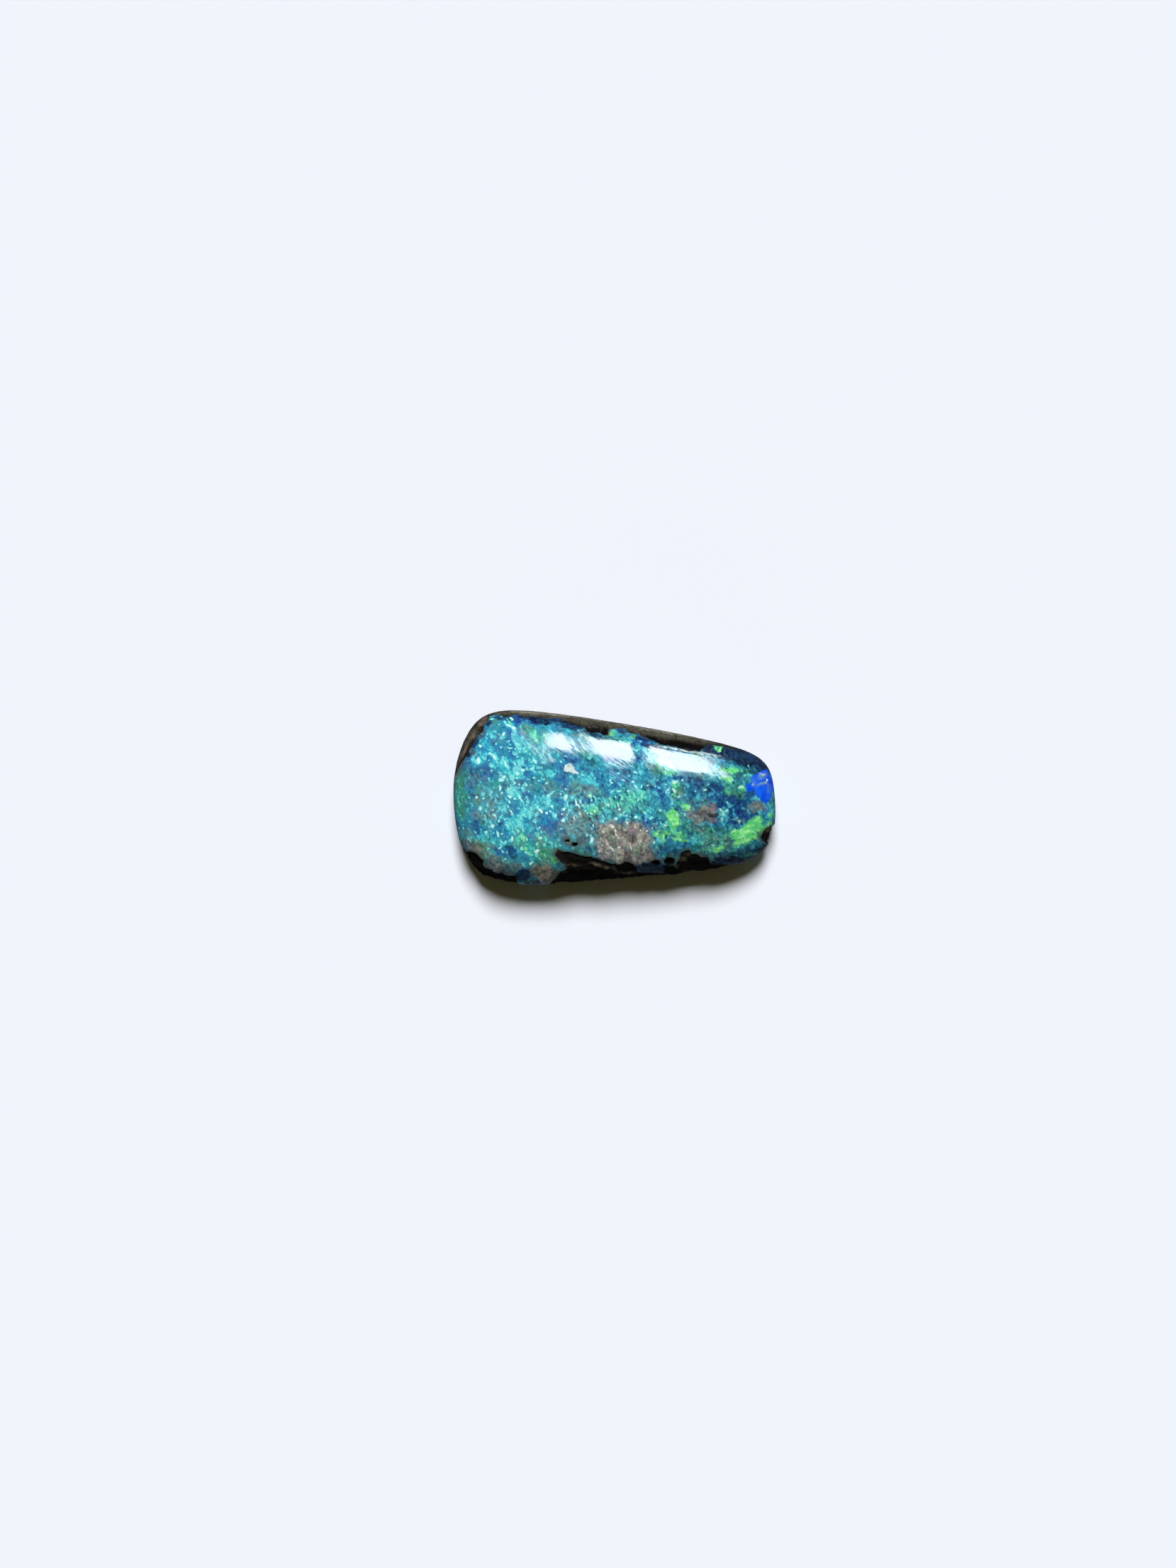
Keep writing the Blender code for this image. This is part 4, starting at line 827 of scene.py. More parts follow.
def lay_bake_map(mesh, points, rings, turns):
    """A flat layout: the whole skin unrolled round the top of the dome, and the base's plan in a corner."""
    ring_size = 2 * (LONG_CELLS + SHORT_CELLS)
    first = (LONG_CELLS + 1) * (SHORT_CELLS + 1)
    skin_rings = CROWN_RINGS + UNDER_RINGS
    flat = np.zeros((len(points), 2))
    flat[:first] = points[:first, :2]
    index = first + np.arange(rings.max() * ring_size).reshape(-1, ring_size)
    grid_edge = np.concatenate((
        (LONG_CELLS - np.arange(LONG_CELLS)) * (SHORT_CELLS + 1) + SHORT_CELLS, SHORT_CELLS - np.arange(SHORT_CELLS),
        np.arange(LONG_CELLS) * (SHORT_CELLS + 1), LONG_CELLS * (SHORT_CELLS + 1) + np.arange(SHORT_CELLS),
    ))
    chain = np.concatenate((grid_edge[None], index[:skin_rings]))
    step = np.linalg.norm(np.diff(points[chain], axis=0), axis=2)
    along = np.cumsum(step, axis=0)
    start = points[grid_edge, :2]
    ahead = np.roll(start, -6, axis=0) - np.roll(start, 6, axis=0)
    outward = np.stack((ahead[:, 1], -ahead[:, 0]), -1)
    outward /= np.linalg.norm(outward, axis=1, keepdims=True)
    flat[index[:skin_rings]] = start[None] + outward[None] * along[..., None]
    low, high = flat[: first + skin_rings * ring_size].min(0), flat[: first + skin_rings * ring_size].max(0)
    scale = 0.98 / max(high - low)
    flat = (flat - (low + high) / 2.0) * scale + (0.5, 0.62)
    under = np.zeros((len(points), 2))
    under[:, 0] = 0.5 + points[:, 0] * 0.020
    under[:, 1] = 0.115 - points[:, 1] * 0.020
    loops = np.zeros(len(mesh.loops), np.int32)
    mesh.loops.foreach_get("vertex_index", loops)
    face_of_loop = np.repeat(np.arange(len(mesh.polygons)), [len(p.vertices) for p in mesh.polygons])
    centre = np.zeros(len(mesh.polygons) * 3)
    mesh.polygons.foreach_get("center", centre)
    below = (centre[2::3] < 1e-7)[face_of_loop]
    uv = np.where(below[:, None], under[loops], flat[loops])
    layer = mesh.uv_layers.new(name="OFBake")
    layer.data.foreach_set("uv", uv.astype(np.float32).ravel())


# ------------------------------------------------------------------ materials
def srgb(red, green, blue):
    def linear(value):
        value /= 255.0
        return value / 12.92 if value <= 0.04045 else ((value + 0.055) / 1.055) ** 2.4

    return (linear(red), linear(green), linear(blue), 1.0)


class Board:
    """Short names for the shader nodes that the stone's material is wired from."""

    def __init__(self, tree):
        self.tree = tree

    def node(self, kind, **settings):
        made = self.tree.nodes.new(kind)
        for name, value in settings.items():
            setattr(made, name, value)
        return made

    def feed(self, socket, value):
        if isinstance(value, bpy.types.NodeSocket):
            self.tree.links.new(value, socket)
        else:
            socket.default_value = value

    def math(self, kind, *values, clamp=False):
        made = self.node("ShaderNodeMath", operation=kind, use_clamp=clamp)
        for socket, value in zip(made.inputs, values):
            self.feed(socket, value)
        return made.outputs[0]

    def add(self, a, b):
        return self.math("ADD", a, b)

    def times(self, a, b):
        return self.math("MULTIPLY", a, b)

    def ease(self, value, low, high, out_low=0.0, out_high=1.0):
        made = self.node("ShaderNodeMapRange", interpolation_type="SMOOTHSTEP", clamp=True)
        for socket, number in zip(made.inputs, (value, low, high, out_low, out_high)):
            self.feed(socket, number)
        return made.outputs[0]

    def mix(self, part, a, b, blend="MIX"):
        made = self.node("ShaderNodeMix", data_type="RGBA", blend_type=blend, clamp_factor=True)
        self.feed(made.inputs[0], part)
        self.feed(made.inputs[6], a)
        self.feed(made.inputs[7], b)
        return made.outputs[2]

    def field(self, name):
        return self.node("ShaderNodeAttribute", attribute_type="GEOMETRY", attribute_name=name).outputs["Fac"]

    def place(self):
        return self.node("ShaderNodeAttribute", attribute_type="GEOMETRY", attribute_name="place").outputs["Vector"]

    def turned(self, vector, scale, turn=0.0, shift=(0.0, 0.0, 0.0)):
        """The place turned about the vertical by -turn degrees, then scaled: long marks run along turn."""
        spun = self.node("ShaderNodeVectorRotate", rotation_type="Z_AXIS")
        self.feed(spun.inputs["Vector"], vector)
        spun.inputs["Angle"].default_value = -math.radians(turn)
        made = self.node("ShaderNodeMapping", vector_type="POINT")
        self.feed(made.inputs["Vector"], spun.outputs[0])
        made.inputs["Location"].default_value = shift
        made.inputs["Scale"].default_value = scale
        return made.outputs[0]

    def noise(self, vector, scale, detail=2.0, roughness=0.5, distortion=0.0):
        made = self.node("ShaderNodeTexNoise", noise_dimensions="3D")
        self.feed(made.inputs["Vector"], vector)
        made.inputs["Scale"].default_value = scale
        made.inputs["Detail"].default_value = detail
        made.inputs["Roughness"].default_value = roughness
        made.inputs["Distortion"].default_value = distortion
        return made.outputs[0]

    def cells(self, vector, scale, feature="F1", randomness=1.0):
        made = self.node("ShaderNodeTexVoronoi", voronoi_dimensions="3D", feature=feature)
        self.feed(made.inputs["Vector"], vector)
        made.inputs["Scale"].default_value = scale
        made.inputs["Randomness"].default_value = randomness
        return made

    def split(self, colour):
        made = self.node("ShaderNodeSeparateColor")
        self.feed(made.inputs[0], colour)
        return made.outputs

    def ramp(self, value, stops):
        made = self.node("ShaderNodeValToRGB")
        self.feed(made.inputs[0], value)
        elements = made.color_ramp.elements
        while len(elements) < len(stops):
            elements.new(0.5)
        for element, (position, colour) in zip(elements, stops):
            element.position = position
            element.color = colour
        return made.outputs[0]


def stone_material():
    material = bpy.data.materials.new("opal_in_ironstone")
    material.use_nodes = True
    tree = material.node_tree
    tree.nodes.clear()
    b = Board(tree)
    output = b.node("ShaderNodeOutputMaterial")
    shader = b.node("ShaderNodeBsdfPrincipled")
    tree.links.new(shader.outputs[0], output.inputs["Surface"])
    place = b.place()

    def around(value, swing, centre=0.5):
        """value - centre, times swing."""
        return b.times(b.add(value, -centre), swing)

    def covered(field, texture, swing, soft):
        """Where a soft field passes one half once a texture has roughened it."""
        roughened = b.add(field, around(texture, swing))
        return b.ease(roughened, 0.5 - soft, 0.5 + soft)

    # Textures that several layers share.
    medium = b.noise(place, 2.1, 2.0, 0.55)
    fine = b.noise(place, 6.0, 2.0, 0.6)
    grain = b.noise(place, 20.0, 2.0, 0.7)
    warp = b.node("ShaderNodeTexNoise", noise_dimensions="3D")
    b.feed(warp.inputs["Vector"], place)
    warp.inputs["Scale"].default_value = 2.6
    warp.inputs["Detail"].default_value = 2.0
    bent = b.node("ShaderNodeVectorMath", operation="MULTIPLY_ADD")
    b.feed(bent.inputs[0], warp.outputs["Color"])
    bent.inputs[1].default_value = (0.22, 0.22, 0.22)
    b.feed(bent.inputs[2], place)
    bent = bent.outputs[0]

    def wash(size, shift, detail=2.0, roughness=0.5):
        """Slow noise for one colour of the ground, with its own pattern."""
        return b.noise(b.turned(bent, (1.0, 1.15, 1.0), -60.0, shift), 1.0 / size, detail, roughness)

    # Ground: blue and teal, drifting into each other like watercolour.
    calm = b.field("calm")
    deep = b.field("deep")
    shade = b.add(0.46, around(wash(1.10, (2.0, 5.0, 1.0)), 1.5))
    shade = b.add(shade, around(fine, 0.18))
    shade = b.add(shade, b.times(b.field("green_tint"), 0.44))
    shade = b.math("ADD", shade, b.times(deep, -0.42), clamp=True)
    ground = b.ramp(shade, (
        (0.00, srgb(32, 84, 158)), (0.20, srgb(42, 114, 176)), (0.40, srgb(48, 138, 184)),
        (0.56, srgb(52, 150, 176)), (0.72, srgb(58, 152, 156)), (0.88, srgb(60, 150, 132)), (1.00, srgb(66, 152, 112)),
    ))
    ground = b.mix(b.times(calm, 0.45), ground, b.mix(b.ease(medium, 0.40, 0.60), srgb(48, 142, 188), srgb(60, 172, 204)))
    # Darker soft spots, and a thin grey veil with fine rusty specks in it.
    spots = wash(0.60, (4.0, 9.0, 2.0), 1.0)
    ground = b.mix(b.times(b.ease(spots, 0.56, 0.74), 0.50), ground, b.mix(b.ease(medium, 0.4, 0.6), srgb(34, 84, 112), srgb(40, 90, 176)))
    veil = b.add(wash(1.00, (13.0, 2.0, 6.0)), around(fine, 0.12))
    veil = b.times(b.ease(veil, 0.50, 0.68), b.ease(calm, 0.0, 1.0, 0.50, 0.08))
    veil_colour = b.mix(b.ease(fine, 0.35, 0.65), srgb(84, 142, 152), srgb(126, 158, 152))
    ground = b.mix(veil, ground, veil_colour)

    # Zones of their own colour.
    royal_cover = covered(b.field("royal"), medium, 0.6, 0.25)
    ground = b.mix(b.times(royal_cover, 0.90), ground, srgb(20, 74, 148))
    haze_cover = covered(b.field("haze"), medium, 0.7, 0.42)
    haze_colour = b.mix(b.ease(fine, 0.35, 0.65), srgb(86, 130, 132), srgb(134, 152, 142))
    ground = b.mix(b.times(haze_cover, 0.85), ground, haze_colour)
    brown_cover = covered(b.field("brown"), b.add(b.times(medium, 0.6), b.times(fine, 0.4)), 1.1, 0.42)
    combed = b.noise(b.turned(bent, (1.1, 2.6, 1.8), 72.0, (3.0, 6.0, 9.0)), 1.0, 2.0, 0.6)
    brown_colour = b.mix(b.ease(b.add(b.times(combed, 0.70), b.times(fine, 0.30)), 0.36, 0.62), srgb(100, 84, 73), srgb(182, 172, 162))
    brown_colour = b.mix(b.times(b.ease(combed, 0.58, 0.48), b.ease(medium, 0.50, 0.64, 0.0, 0.6)), brown_colour, srgb(122, 152, 128))
    ground = b.mix(b.times(brown_cover, 0.90), ground, brown_colour)
    rusty = b.times(b.ease(grain, 0.52, 0.66), b.ease(b.math("MAXIMUM", veil, b.math("MAXIMUM", haze_cover, brown_cover)), 0.0, 1.0, 0.10, 0.30))
    ground = b.mix(rusty, ground, srgb(156, 134, 116))
    ground = b.mix(b.times(covered(b.field("pink"), fine, 0.5, 0.25), 0.85), ground, srgb(152, 132, 146))
    navy_cover = covered(b.field("navy"), medium, 0.6, 0.30)
    navy_colour = b.mix(b.ease(medium, 0.4, 0.6), srgb(16, 20, 42), srgb(24, 48, 92))
    navy_colour = b.mix(b.times(b.ease(spots, 0.44, 0.56), b.ease(fine, 0.46, 0.64, 0.0, 0.75)), navy_colour, srgb(30, 84, 122))
    navy_colour = b.mix(b.ease(grain, 0.54, 0.70, 0.0, 0.55), navy_colour, srgb(76, 72, 78))
    ground = b.mix(b.times(navy_cover, 0.95), ground, navy_colour)
    ground = b.mix(b.times(covered(b.field("dark_brown"), fine, 0.6, 0.25), 0.9), ground, srgb(44, 40, 44))

    # Play of colour. Clouds of cyan first, or of green where the green flashes are.
    density = b.math("MULTIPLY", b.add(0.30, b.times(b.field("flecks"), 0.70)), b.math("SUBTRACT", 1.0, b.times(calm, 0.65)))
    density = b.times(density, b.math("SUBTRACT", 1.0, b.times(navy_cover, 0.8)))
    green = b.field("green_flash")
    tint = b.math("MAXIMUM", b.ease(b.field("green_tint"), 0.2, 0.9, 0.0, 0.55), b.ease(b.add(green, b.add(around(medium, 0.7), around(fine, 0.5))), 0.22, 0.62))
    on_brown = b.ease(b.field("brown"), 0.15, 0.50)
    lift = b.math("MAXIMUM", b.times(b.field("cyan_flash"), 0.24), b.times(green, 0.26))
    for away_from, amount in ((density, 0.10), (on_brown, -0.10), (navy_cover, -0.16), (royal_cover, -0.12), (deep, -0.08), (haze_cover, -0.04)):
        lift = b.add(lift, b.times(away_from, amount))
    cloud = b.add(b.add(around(wash(0.74, (7.0, 1.0, 4.0)), 0.95, 0.0), around(fine, 0.14)), b.add(lift, -0.09))
    cloud_colour = b.mix(tint, b.mix(b.ease(cloud, 0.52, 0.72), srgb(46, 166, 200), srgb(76, 206, 216)),
                         b.mix(b.ease(cloud, 0.52, 0.72), srgb(52, 162, 112), srgb(100, 216, 122)))
    bare = b.math("SUBTRACT", 1.0, b.times(on_brown, 0.90))
    opal = b.mix(b.times(b.times(b.ease(cloud, 0.46, 0.66), 0.80), bare), ground, cloud_colour)

    # Then soft brush-like marks that gather in the clouds.
    marks = b.noise(b.turned(bent, (0.72, 1.25, 1.0), -58.0, (7.0, 3.0, 1.0)), 4.6, 1.5, 0.5)
    marks = b.add(b.add(marks, around(cloud, 0.55)), b.times(lift, 0.15))
    marks_colour = b.mix(tint, b.mix(b.ease(marks, 0.60, 0.76), srgb(66, 200, 216), srgb(138, 234, 236)),
                         b.mix(b.ease(marks, 0.60, 0.76), srgb(80, 212, 108), srgb(150, 248, 150)))
    opal = b.mix(b.times(b.times(b.ease(marks, 0.56, 0.68), 0.82), bare), opal, marks_colour)
    opal = b.mix(b.ease(marks, 0.42, 0.28, 0.0, 0.42), opal, b.mix(1.0, opal, srgb(80, 108, 140), "MULTIPLY"))
    opal = b.mix(b.times(b.ease(fine, 0.48, 0.34), b.add(0.34, b.times(calm, -0.30))), opal, b.mix(1.0, opal, srgb(112, 144, 168), "MULTIPLY"))

    # The narrower half is the more strongly mottled one.
    mottle = b.add(b.times(wash(0.30, (21.0, 4.0, 8.0), 1.5, 0.6), 0.8), b.times(fine, 0.2))
    lively = b.times(b.times(b.field("lively"), bare), b.math("SUBTRACT", 1.0, navy_cover))
    opal = b.mix(b.times(b.ease(mottle, 0.465, 0.36), b.times(lively, 0.74)), opal, b.mix(1.0, opal, srgb(104, 134, 164), "MULTIPLY"))
    lit = b.mix(tint, srgb(96, 212, 224), srgb(104, 228, 134))
    opal = b.mix(b.times(b.ease(mottle, 0.535, 0.65), b.times(lively, 0.70)), opal, lit)

    sheet = b.ease(b.add(green, b.add(around(medium, 0.6), around(fine, 0.6))), 0.42, 1.05)
    combing = b.noise(b.turned(bent, (1.2, 4.4, 2.4), 18.0, (2.0, 8.0, 3.0)), 1.0, 2.0, 0.6)
    sheet_colour = b.mix(b.ease(combing, 0.40, 0.62), srgb(88, 206, 120), srgb(146, 250, 150))
    sheet_colour = b.mix(b.times(b.ease(b.add(b.times(combing, 0.6), b.times(fine, 0.4)), 0.54, 0.64), 0.75), sheet_colour, srgb(200, 252, 214))
    opal = b.mix(b.times(sheet, 0.85), opal, sheet_colour)

    # Flecks: small bright marks with a white core and a soft rim, most of them leaning the same way.
    fleck_colour = b.mix(b.times(tint, 0.85), srgb(92, 216, 222), srgb(100, 220, 138))
    fleck_colour = b.mix(b.times(on_brown, 0.92), fleck_colour, b.mix(b.ease(medium, 0.42, 0.58), srgb(216, 234, 224), srgb(126, 206, 138)))
    gather = b.ease(cloud, 0.42, 0.66, -0.16, 0.16)
    for turn, scale, share, largest, strength, shift in (
        (-60.0, (1.70, 2.50, 2.2), 0.12, 0.38, 0.80, (3.1, 7.7, 1.3)),
        (-66.0, (2.60, 3.90, 3.4), 0.22, 0.42, 0.95, (8.3, 1.9, 6.2)),
        (-30.0, (3.60, 4.60, 4.2), 0.30, 0.42, 1.00, (11.9, 2.3, 5.1)),
        (20.0, (5.40, 6.60, 6.0), 0.33, 0.42, 1.00, (6.4, 9.2, 8.8)),
    ):
        cells = b.cells(b.turned(bent, scale, turn, shift), 1.0)
        here_r, here_g, here_b = b.split(cells.outputs["Color"])[:3]
        chance = b.add(b.add(here_r, b.times(density, share)), b.add(gather, b.times(on_brown, 0.02)))
        present = b.ease(chance, 0.99, 1.05)
        reach = b.add(0.16, b.times(here_b, largest - 0.16))
        away = b.math("DIVIDE", b.add(cells.outputs["Distance"], around(fine, 0.34)), reach)
        whiteness = b.times(b.ease(here_g, 0.25, 0.75), b.ease(away, 0.85, 0.30))
        mark = b.mix(b.times(whiteness, 0.90), fleck_colour, srgb(220, 250, 247))
        strong = b.times(b.ease(here_g, 0.0, 0.7, 0.50, 1.0), strength)
        opal = b.mix(b.times(b.times(b.ease(away, 1.20, 0.50), present), b.times(strong, b.add(0.30, b.times(bare, 0.70)))), opal, mark)

    # The spots and marks that are placed one by one.
    spot = b.add(b.field("dark"), b.times(b.ease(b.field("dark"), 0.0, 0.3), b.add(around(medium, 1.1), around(fine, 0.9))))
    opal = b.mix(b.times(b.ease(spot, 0.15, 0.95), 0.88), opal, b.mix(b.ease(medium, 0.42, 0.58), srgb(20, 50, 86), srgb(26, 70, 130)))
    placed = b.field("bright")
    ragged = b.add(around(fine, 0.36), b.times(around(grain, 1.0), b.add(0.40, b.times(on_brown, 0.55))))
    bright = b.add(placed, b.times(b.ease(placed, 0.0, 0.3), ragged))
    heart = b.mix(on_brown, srgb(226, 252, 250), srgb(230, 240, 236))
    rim = b.mix(on_brown, b.mix(b.times(tint, 0.85), srgb(104, 224, 230), srgb(110, 230, 146)), srgb(178, 178, 168))
    opal = b.mix(b.times(b.ease(bright, 0.18, 0.52), 0.90), opal, b.mix(b.ease(bright, 0.44, 0.80), rim, heart))

    # The darkened places: thin opal over ironstone, and painted shade along the lower edge.
    dim_and_edge_shade = b.times(b.field("dim_and_edge_shade"), b.times(b.ease(medium, 0.35, 0.60, 1.0, 0.45), b.math("SUBTRACT", 1.0, b.times(sheet, 0.9))))
    opal = b.mix(dim_and_edge_shade, opal, b.mix(1.0, opal, srgb(138, 156, 148), "MULTIPLY"))

    vivid_cover = covered(b.field("vivid"), fine, 0.35, 0.15)
    vivid_colour = b.mix(b.ease(medium, 0.4, 0.65), srgb(10, 76, 232), srgb(22, 102, 250))
    vivid_light = b.times(b.field("cyan_flash"), b.ease(fine, 0.35, 0.60, 0.45, 1.0))
    opal = b.mix(vivid_cover, opal, b.mix(b.times(vivid_light, 0.85), vivid_colour, srgb(110, 158, 172)))
    # Pale streaky lines painted into the scuffed patches: a painted highlight for the window's glare, on top of the
    # real roughening that the same patches give below.
    scuff_and_glare = b.field("scuff_and_glare")
    painted_glare_streaks = b.noise(b.turned(bent, (1.5, 9.0, 3.0), -52.0, (5.0, 2.0, 8.0)), 1.0, 2.0, 0.55)
    painted_glare_streaks = b.times(scuff_and_glare, b.ease(painted_glare_streaks, 0.47, 0.62, 0.10, 0.95))
    opal = b.mix(painted_glare_streaks, opal, srgb(190, 236, 242))
    milk_cover = covered(b.field("milk"), grain, 0.6, 0.25)
    opal = b.mix(b.times(milk_cover, b.ease(fine, 0.30, 0.60, 0.55, 0.9)), opal, srgb(226, 246, 246))
    # Along the ironstone the opal is thin, and shows it through as dim brownish grey.
    contact = b.field("contact")
    thin = b.ease(b.add(contact, b.add(around(medium, 16.0), around(fine, 10.0))), -8.0, 0.0)
    thin = b.times(thin, b.math("SUBTRACT", 1.0, b.ease(b.field("navy"), 0.1, 0.5)))
    opal = b.mix(b.times(thin, 0.72), opal, b.mix(b.ease(grain, 0.40, 0.62), srgb(36, 42, 44), srgb(96, 100, 88)))
    opal = b.mix(b.times(b.ease(grain, 0.38, 0.68), 0.20), opal, srgb(30, 52, 74), "MULTIPLY")

    # Ironstone: dark rusty brown to near black. The near black is darker than the stone's own colour, so that it also
    # stands as painted shade on the lower flank, which faces away from the light. Paler brown where it was polished or
    # broken fresh; along the far strip the pale brown is partly a painted sheen.
    iron_noise = b.noise(place, 3.4, 5.0, 0.7)
    iron_fine = b.noise(place, 14.0, 3.0, 0.7)
    iron = b.mix(b.ease(iron_noise, 0.35, 0.68), srgb(5, 3, 2), srgb(22, 16, 12))
    # The brown lies in thin uneven layers, with darker veins across them.
    layers = b.noise(b.turned(place, (0.9, 0.9, 5.5), 0.0, (1.0, 4.0, 7.0)), 1.0, 4.0, 0.65)
    layers = b.add(b.times(layers, 0.55), b.add(b.times(iron_noise, 0.30), b.times(iron_fine, 0.15)))
    speckle = b.add(b.times(iron_fine, 0.65), b.times(fine, 0.35))
    rough_brown = b.mix(b.ease(layers, 0.38, 0.60), srgb(40, 37, 28), srgb(98, 93, 72))
    smooth_brown = b.mix(b.ease(speckle, 0.36, 0.64), srgb(46, 45, 38), srgb(100, 98, 86))
    brown_stone = b.mix(b.field("polished"), rough_brown, smooth_brown)
    veins = b.ease(b.math("ABSOLUTE", b.add(b.noise(b.turned(place, (1.4, 1.4, 1.1), 20.0, (6.0, 2.0, 5.0)), 1.0, 4.0, 0.6), -0.5)), 0.035, 0.0)
    brown_stone = b.mix(b.times(veins, b.add(0.60, b.times(b.field("polished"), -0.50))), brown_stone, srgb(22, 17, 14))
    iron = b.mix(b.times(b.field("tan"), 0.95), iron, brown_stone)
    iron = b.mix(b.times(b.field("pink_tan"), 0.85), iron, srgb(126, 106, 90))
    iron = b.mix(b.times(b.ease(iron_fine, 0.55, 0.75), b.add(0.06, b.times(b.field("tan"), 0.12))), iron, srgb(86, 79, 60))
    # The near-black patches darken the ironstone almost to black.
    iron = b.mix(b.field("near_black"), iron, srgb(8, 6, 7))
    # The pale line along the strip's outer edge is a painted sheen.
    iron = b.mix(b.times(b.field("rim"), b.times(b.ease(iron_fine, 0.30, 0.60), 0.80)), iron, srgb(158, 158, 146))
    # The hollows are painted near black, partly their dark ironstone and partly painted shade inside them.
    iron = b.mix(b.field("hollow"), iron, srgb(5, 4, 4))
    edge_noise = around(b.noise(place, 7.0, 4.0, 0.7), 4.5)
    iron_cover = b.ease(b.add(contact, edge_noise), -0.6, 0.9)
    colour = b.mix(iron_cover, opal, iron)
    colour = b.mix(b.times(b.field("crack"), 0.5), colour, srgb(60, 58, 60))
    b.feed(shader.inputs["Base Color"], colour)

    # Finish.
    rough_opal = b.add(b.add(0.12, b.times(b.ease(fine, 0.4, 0.8), 0.06)), b.times(scuff_and_glare, 0.25))
    polished = b.field("polished")
    rough_iron = b.add(b.add(0.78, b.times(polished, -0.64)), b.add(b.times(iron_fine, 0.10), b.times(b.field("hollow"), 0.75)))
    roughness = b.node("ShaderNodeMix", data_type="FLOAT")
    b.feed(roughness.inputs[0], iron_cover)
    b.feed(roughness.inputs[2], rough_opal)
    b.feed(roughness.inputs[3], rough_iron)
    b.feed(shader.inputs["Roughness"], roughness.outputs[0])
    shader.inputs["IOR"].default_value = 1.26
    # The opal's hard polish is a coat, which the rough ironstone lacks.
    shine = b.math("SUBTRACT", 1.0, b.times(iron_cover, b.add(0.97, b.times(polished, -0.47))))
    shine = b.times(shine, b.math("SUBTRACT", 1.0, b.times(b.times(scuff_and_glare, b.ease(medium, 0.40, 0.60)), 0.55)))
    b.feed(shader.inputs["Coat Weight"], b.times(shine, b.math("SUBTRACT", 1.0, b.times(b.field("hollow"), 3.0), clamp=True)))
    shader.inputs["Coat Roughness"].default_value = 0.085
    shader.inputs["Coat IOR"].default_value = 1.46

    # Polishing lines and the faint orange-peel of the opal; grit on the ironstone.
    drag = b.noise(b.turned(place, (1.3, 7.5, 3.0), -33.0), 1.0, 3.0, 0.6)
    peel = b.noise(place, 5.0, 2.0, 0.5)
    skin = b.add(b.times(drag, b.add(1.0, b.times(scuff_and_glare, 0.8))), b.times(peel, 0.35))
    grit = b.times(b.add(b.times(iron_noise, 8.0), b.times(iron_fine, 4.0)), b.add(1.0, b.times(polished, -0.93)))
    height = b.node("ShaderNodeMix", data_type="FLOAT")
    b.feed(height.inputs[0], iron_cover)
    b.feed(height.inputs[2], skin)
    b.feed(height.inputs[3], grit)
    bump = b.node("ShaderNodeBump")
    bump.inputs["Strength"].default_value = 1.0
    bump.inputs["Distance"].default_value = 0.000006
    b.feed(bump.inputs["Height"], height.outputs[0])
    b.feed(shader.inputs["Normal"], bump.outputs[0])
    b.feed(shader.inputs["Coat Normal"], bump.outputs[0])
    material.diffuse_color = srgb(44, 142, 176)
    return material


# --------------------------------------------------------- floor, light, world
def make_floor():
    mesh = bpy.data.meshes.new("floor")
    size = 3.0
    mesh.from_pydata([(-size, -size, 0), (size, -size, 0), (size, size, 0), (-size, size, 0)], [], [(0, 1, 2, 3)])
    floor = bpy.data.objects.new("floor", mesh)
    bpy.context.scene.collection.objects.link(floor)
    material = bpy.data.materials.new("pale_floor")
    material.use_nodes = True
    shader = material.node_tree.nodes["Principled BSDF"]
    shader.inputs["Base Color"].default_value = (0.760, 0.798, 0.899, 1.0)
    shader.inputs["Roughness"].default_value = 0.9
    shader.inputs["Specular IOR Level"].default_value = 0.1
    mesh.materials.append(material)
    floor.visible_glossy = False


def area_light(name, place, aim, size, power, colour=(1.0, 1.0, 1.0)):
    data = bpy.data.lights.new(name, "AREA")
    data.shape = "RECTANGLE"
    data.size, data.size_y = size
    data.energy = power
    data.color = colour
    light = bpy.data.objects.new(name, data)
    bpy.context.scene.collection.objects.link(light)
    light.location = place
    light.rotation_mode = "QUATERNION"
    light.rotation_quaternion = (Vector(aim) - Vector(place)).to_track_quat("-Z", "Y")
    light.visible_camera = False
    return light


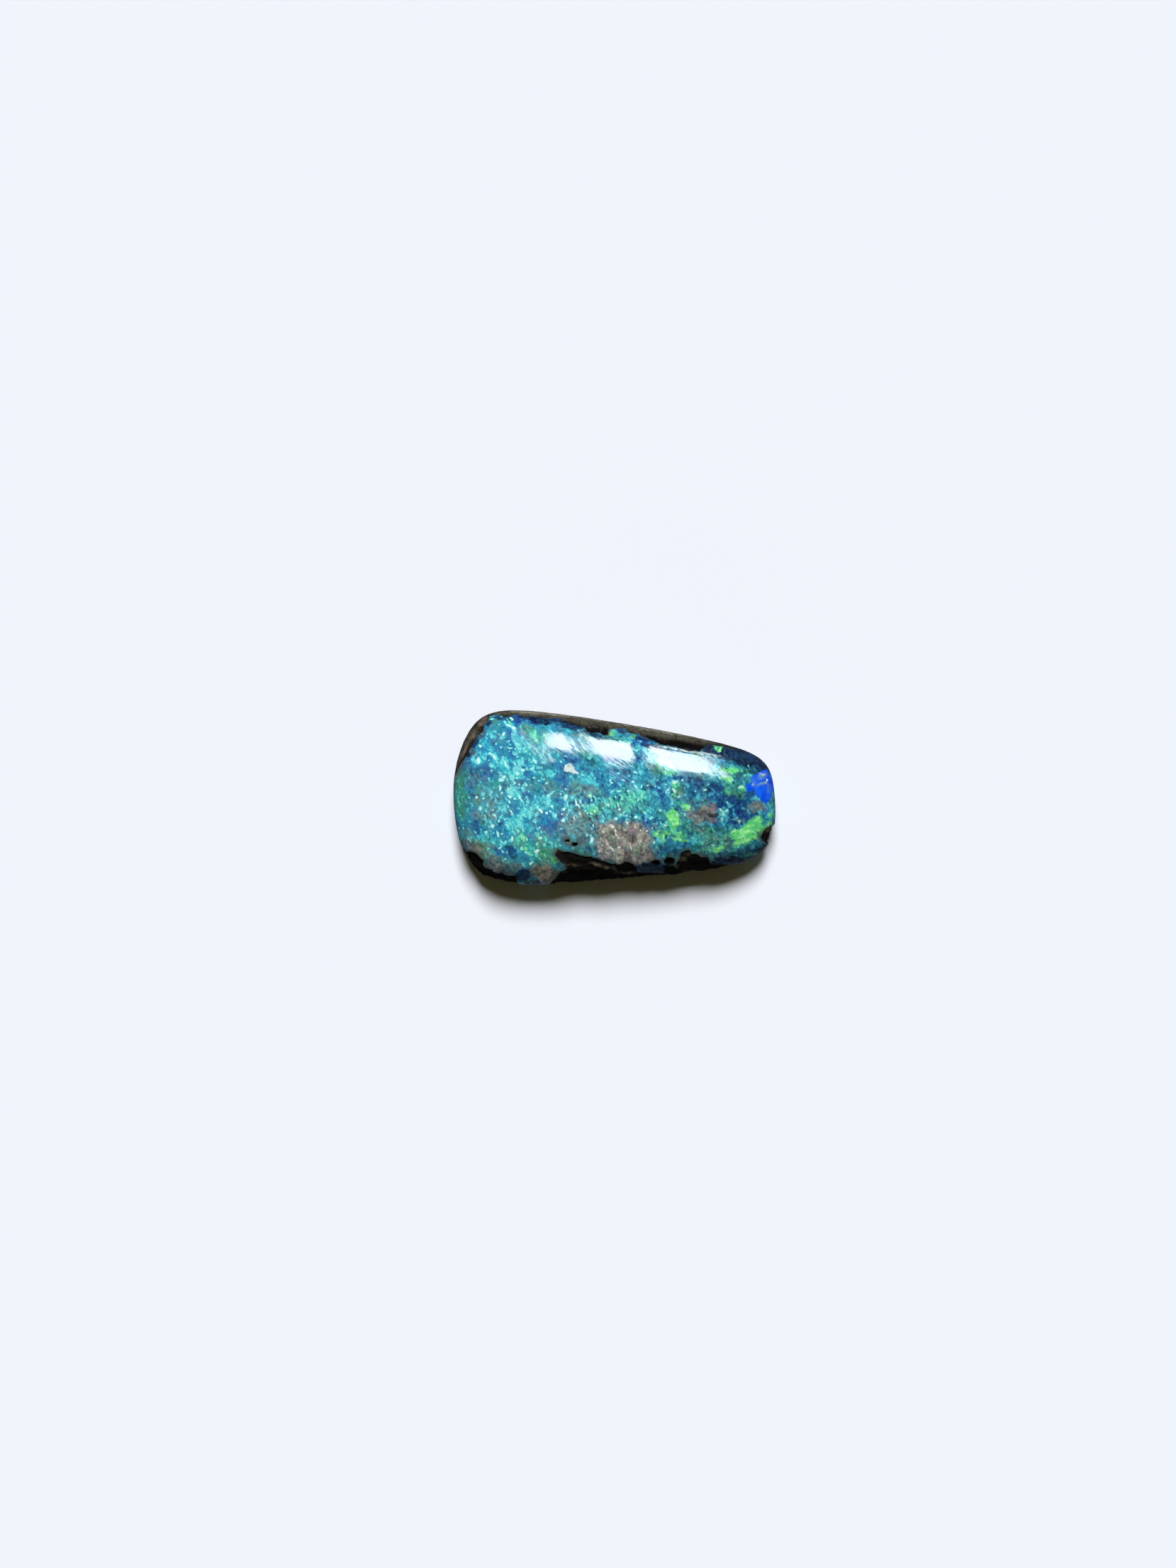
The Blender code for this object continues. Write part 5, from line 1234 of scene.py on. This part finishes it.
def overhead_pane(name, sideways, forward, width, depth, radiance, turn=-10.5, height=0.3):
    """A pane of the window as the polish mirrors it, lying level above the stone. Its middle and
    its size are given for each metre of height, and its turn in degrees."""
    width, depth = width * height, depth * height
    place = (sideways * height, forward * height, height)
    pane = area_light(name, place, (place[0], place[1], 0.0), (width, depth), radiance * math.pi * width * depth)
    pane.rotation_mode = "XYZ"
    pane.rotation_euler = (0.0, 0.0, math.radians(turn))
    pane.visible_diffuse = False


def make_lights():
    # One window on the far side. Its light and its mirror image in the polish are
    # separate lights, so that each has its own size and strength. The light comes
    # from far off, so that the floor is as bright at its edge as round the stone.
    data = bpy.data.lights.new("window", "SUN")
    data.energy = 4.27
    data.angle = math.radians(25.0)
    data.color = (1.0, 0.99, 0.965)
    window = bpy.data.objects.new("window", data)
    bpy.context.scene.collection.objects.link(window)
    window.location = (0.0, 0.278, 0.380)
    window.rotation_mode = "QUATERNION"
    window.rotation_quaternion = (-Vector(window.location)).to_track_quat("-Z", "Y")
    window.visible_glossy = False
    overhead_pane("window_pane", 0.237, 0.690, 0.495, 0.765, 17.0)
    overhead_pane("window_pane_near", 0.266, 0.376, 0.228, 0.226, 17.0)
    overhead_pane("window_sill", 0.60, 1.42, 0.34, 0.14, 26.0)
    # A low, weak light from the near side keeps the flank readable without lifting the shadow.
    fill = area_light("fill", (-0.12, -0.42, 0.07), (0.0, 0.0, 0.0), (0.40, 0.08), 0.13, (1.0, 0.88, 0.50))
    fill.visible_glossy = False


def make_world():
    world = bpy.data.worlds.new("studio")
    world.use_nodes = True
    bpy.context.scene.world = world
    tree = world.node_tree
    tree.nodes.clear()
    b = Board(tree)
    output = b.node("ShaderNodeOutputWorld")
    background = b.node("ShaderNodeBackground")
    paths = b.node("ShaderNodeLightPath")
    seen = b.mix(paths.outputs["Is Camera Ray"], (0.045, 0.040, 0.014, 1.0), (0.83, 0.87, 0.965, 1.0))
    seen = b.mix(paths.outputs["Is Glossy Ray"], seen, (0.035, 0.038, 0.042, 1.0))
    b.feed(background.inputs[0], seen)
    tree.links.new(background.outputs[0], output.inputs[0])


def set_view():
    scene = bpy.context.scene
    scene.view_settings.view_transform = "Standard"
    scene.view_settings.look = "None"
    scene.view_settings.exposure = 0.0
    scene.view_settings.gamma = 1.0


make_camera()
stone = make_stone()
stone.data.materials.append(stone_material())
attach(stone, "root")
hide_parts("pipe_opal")
make_floor()
make_lights()
make_world()
set_view()
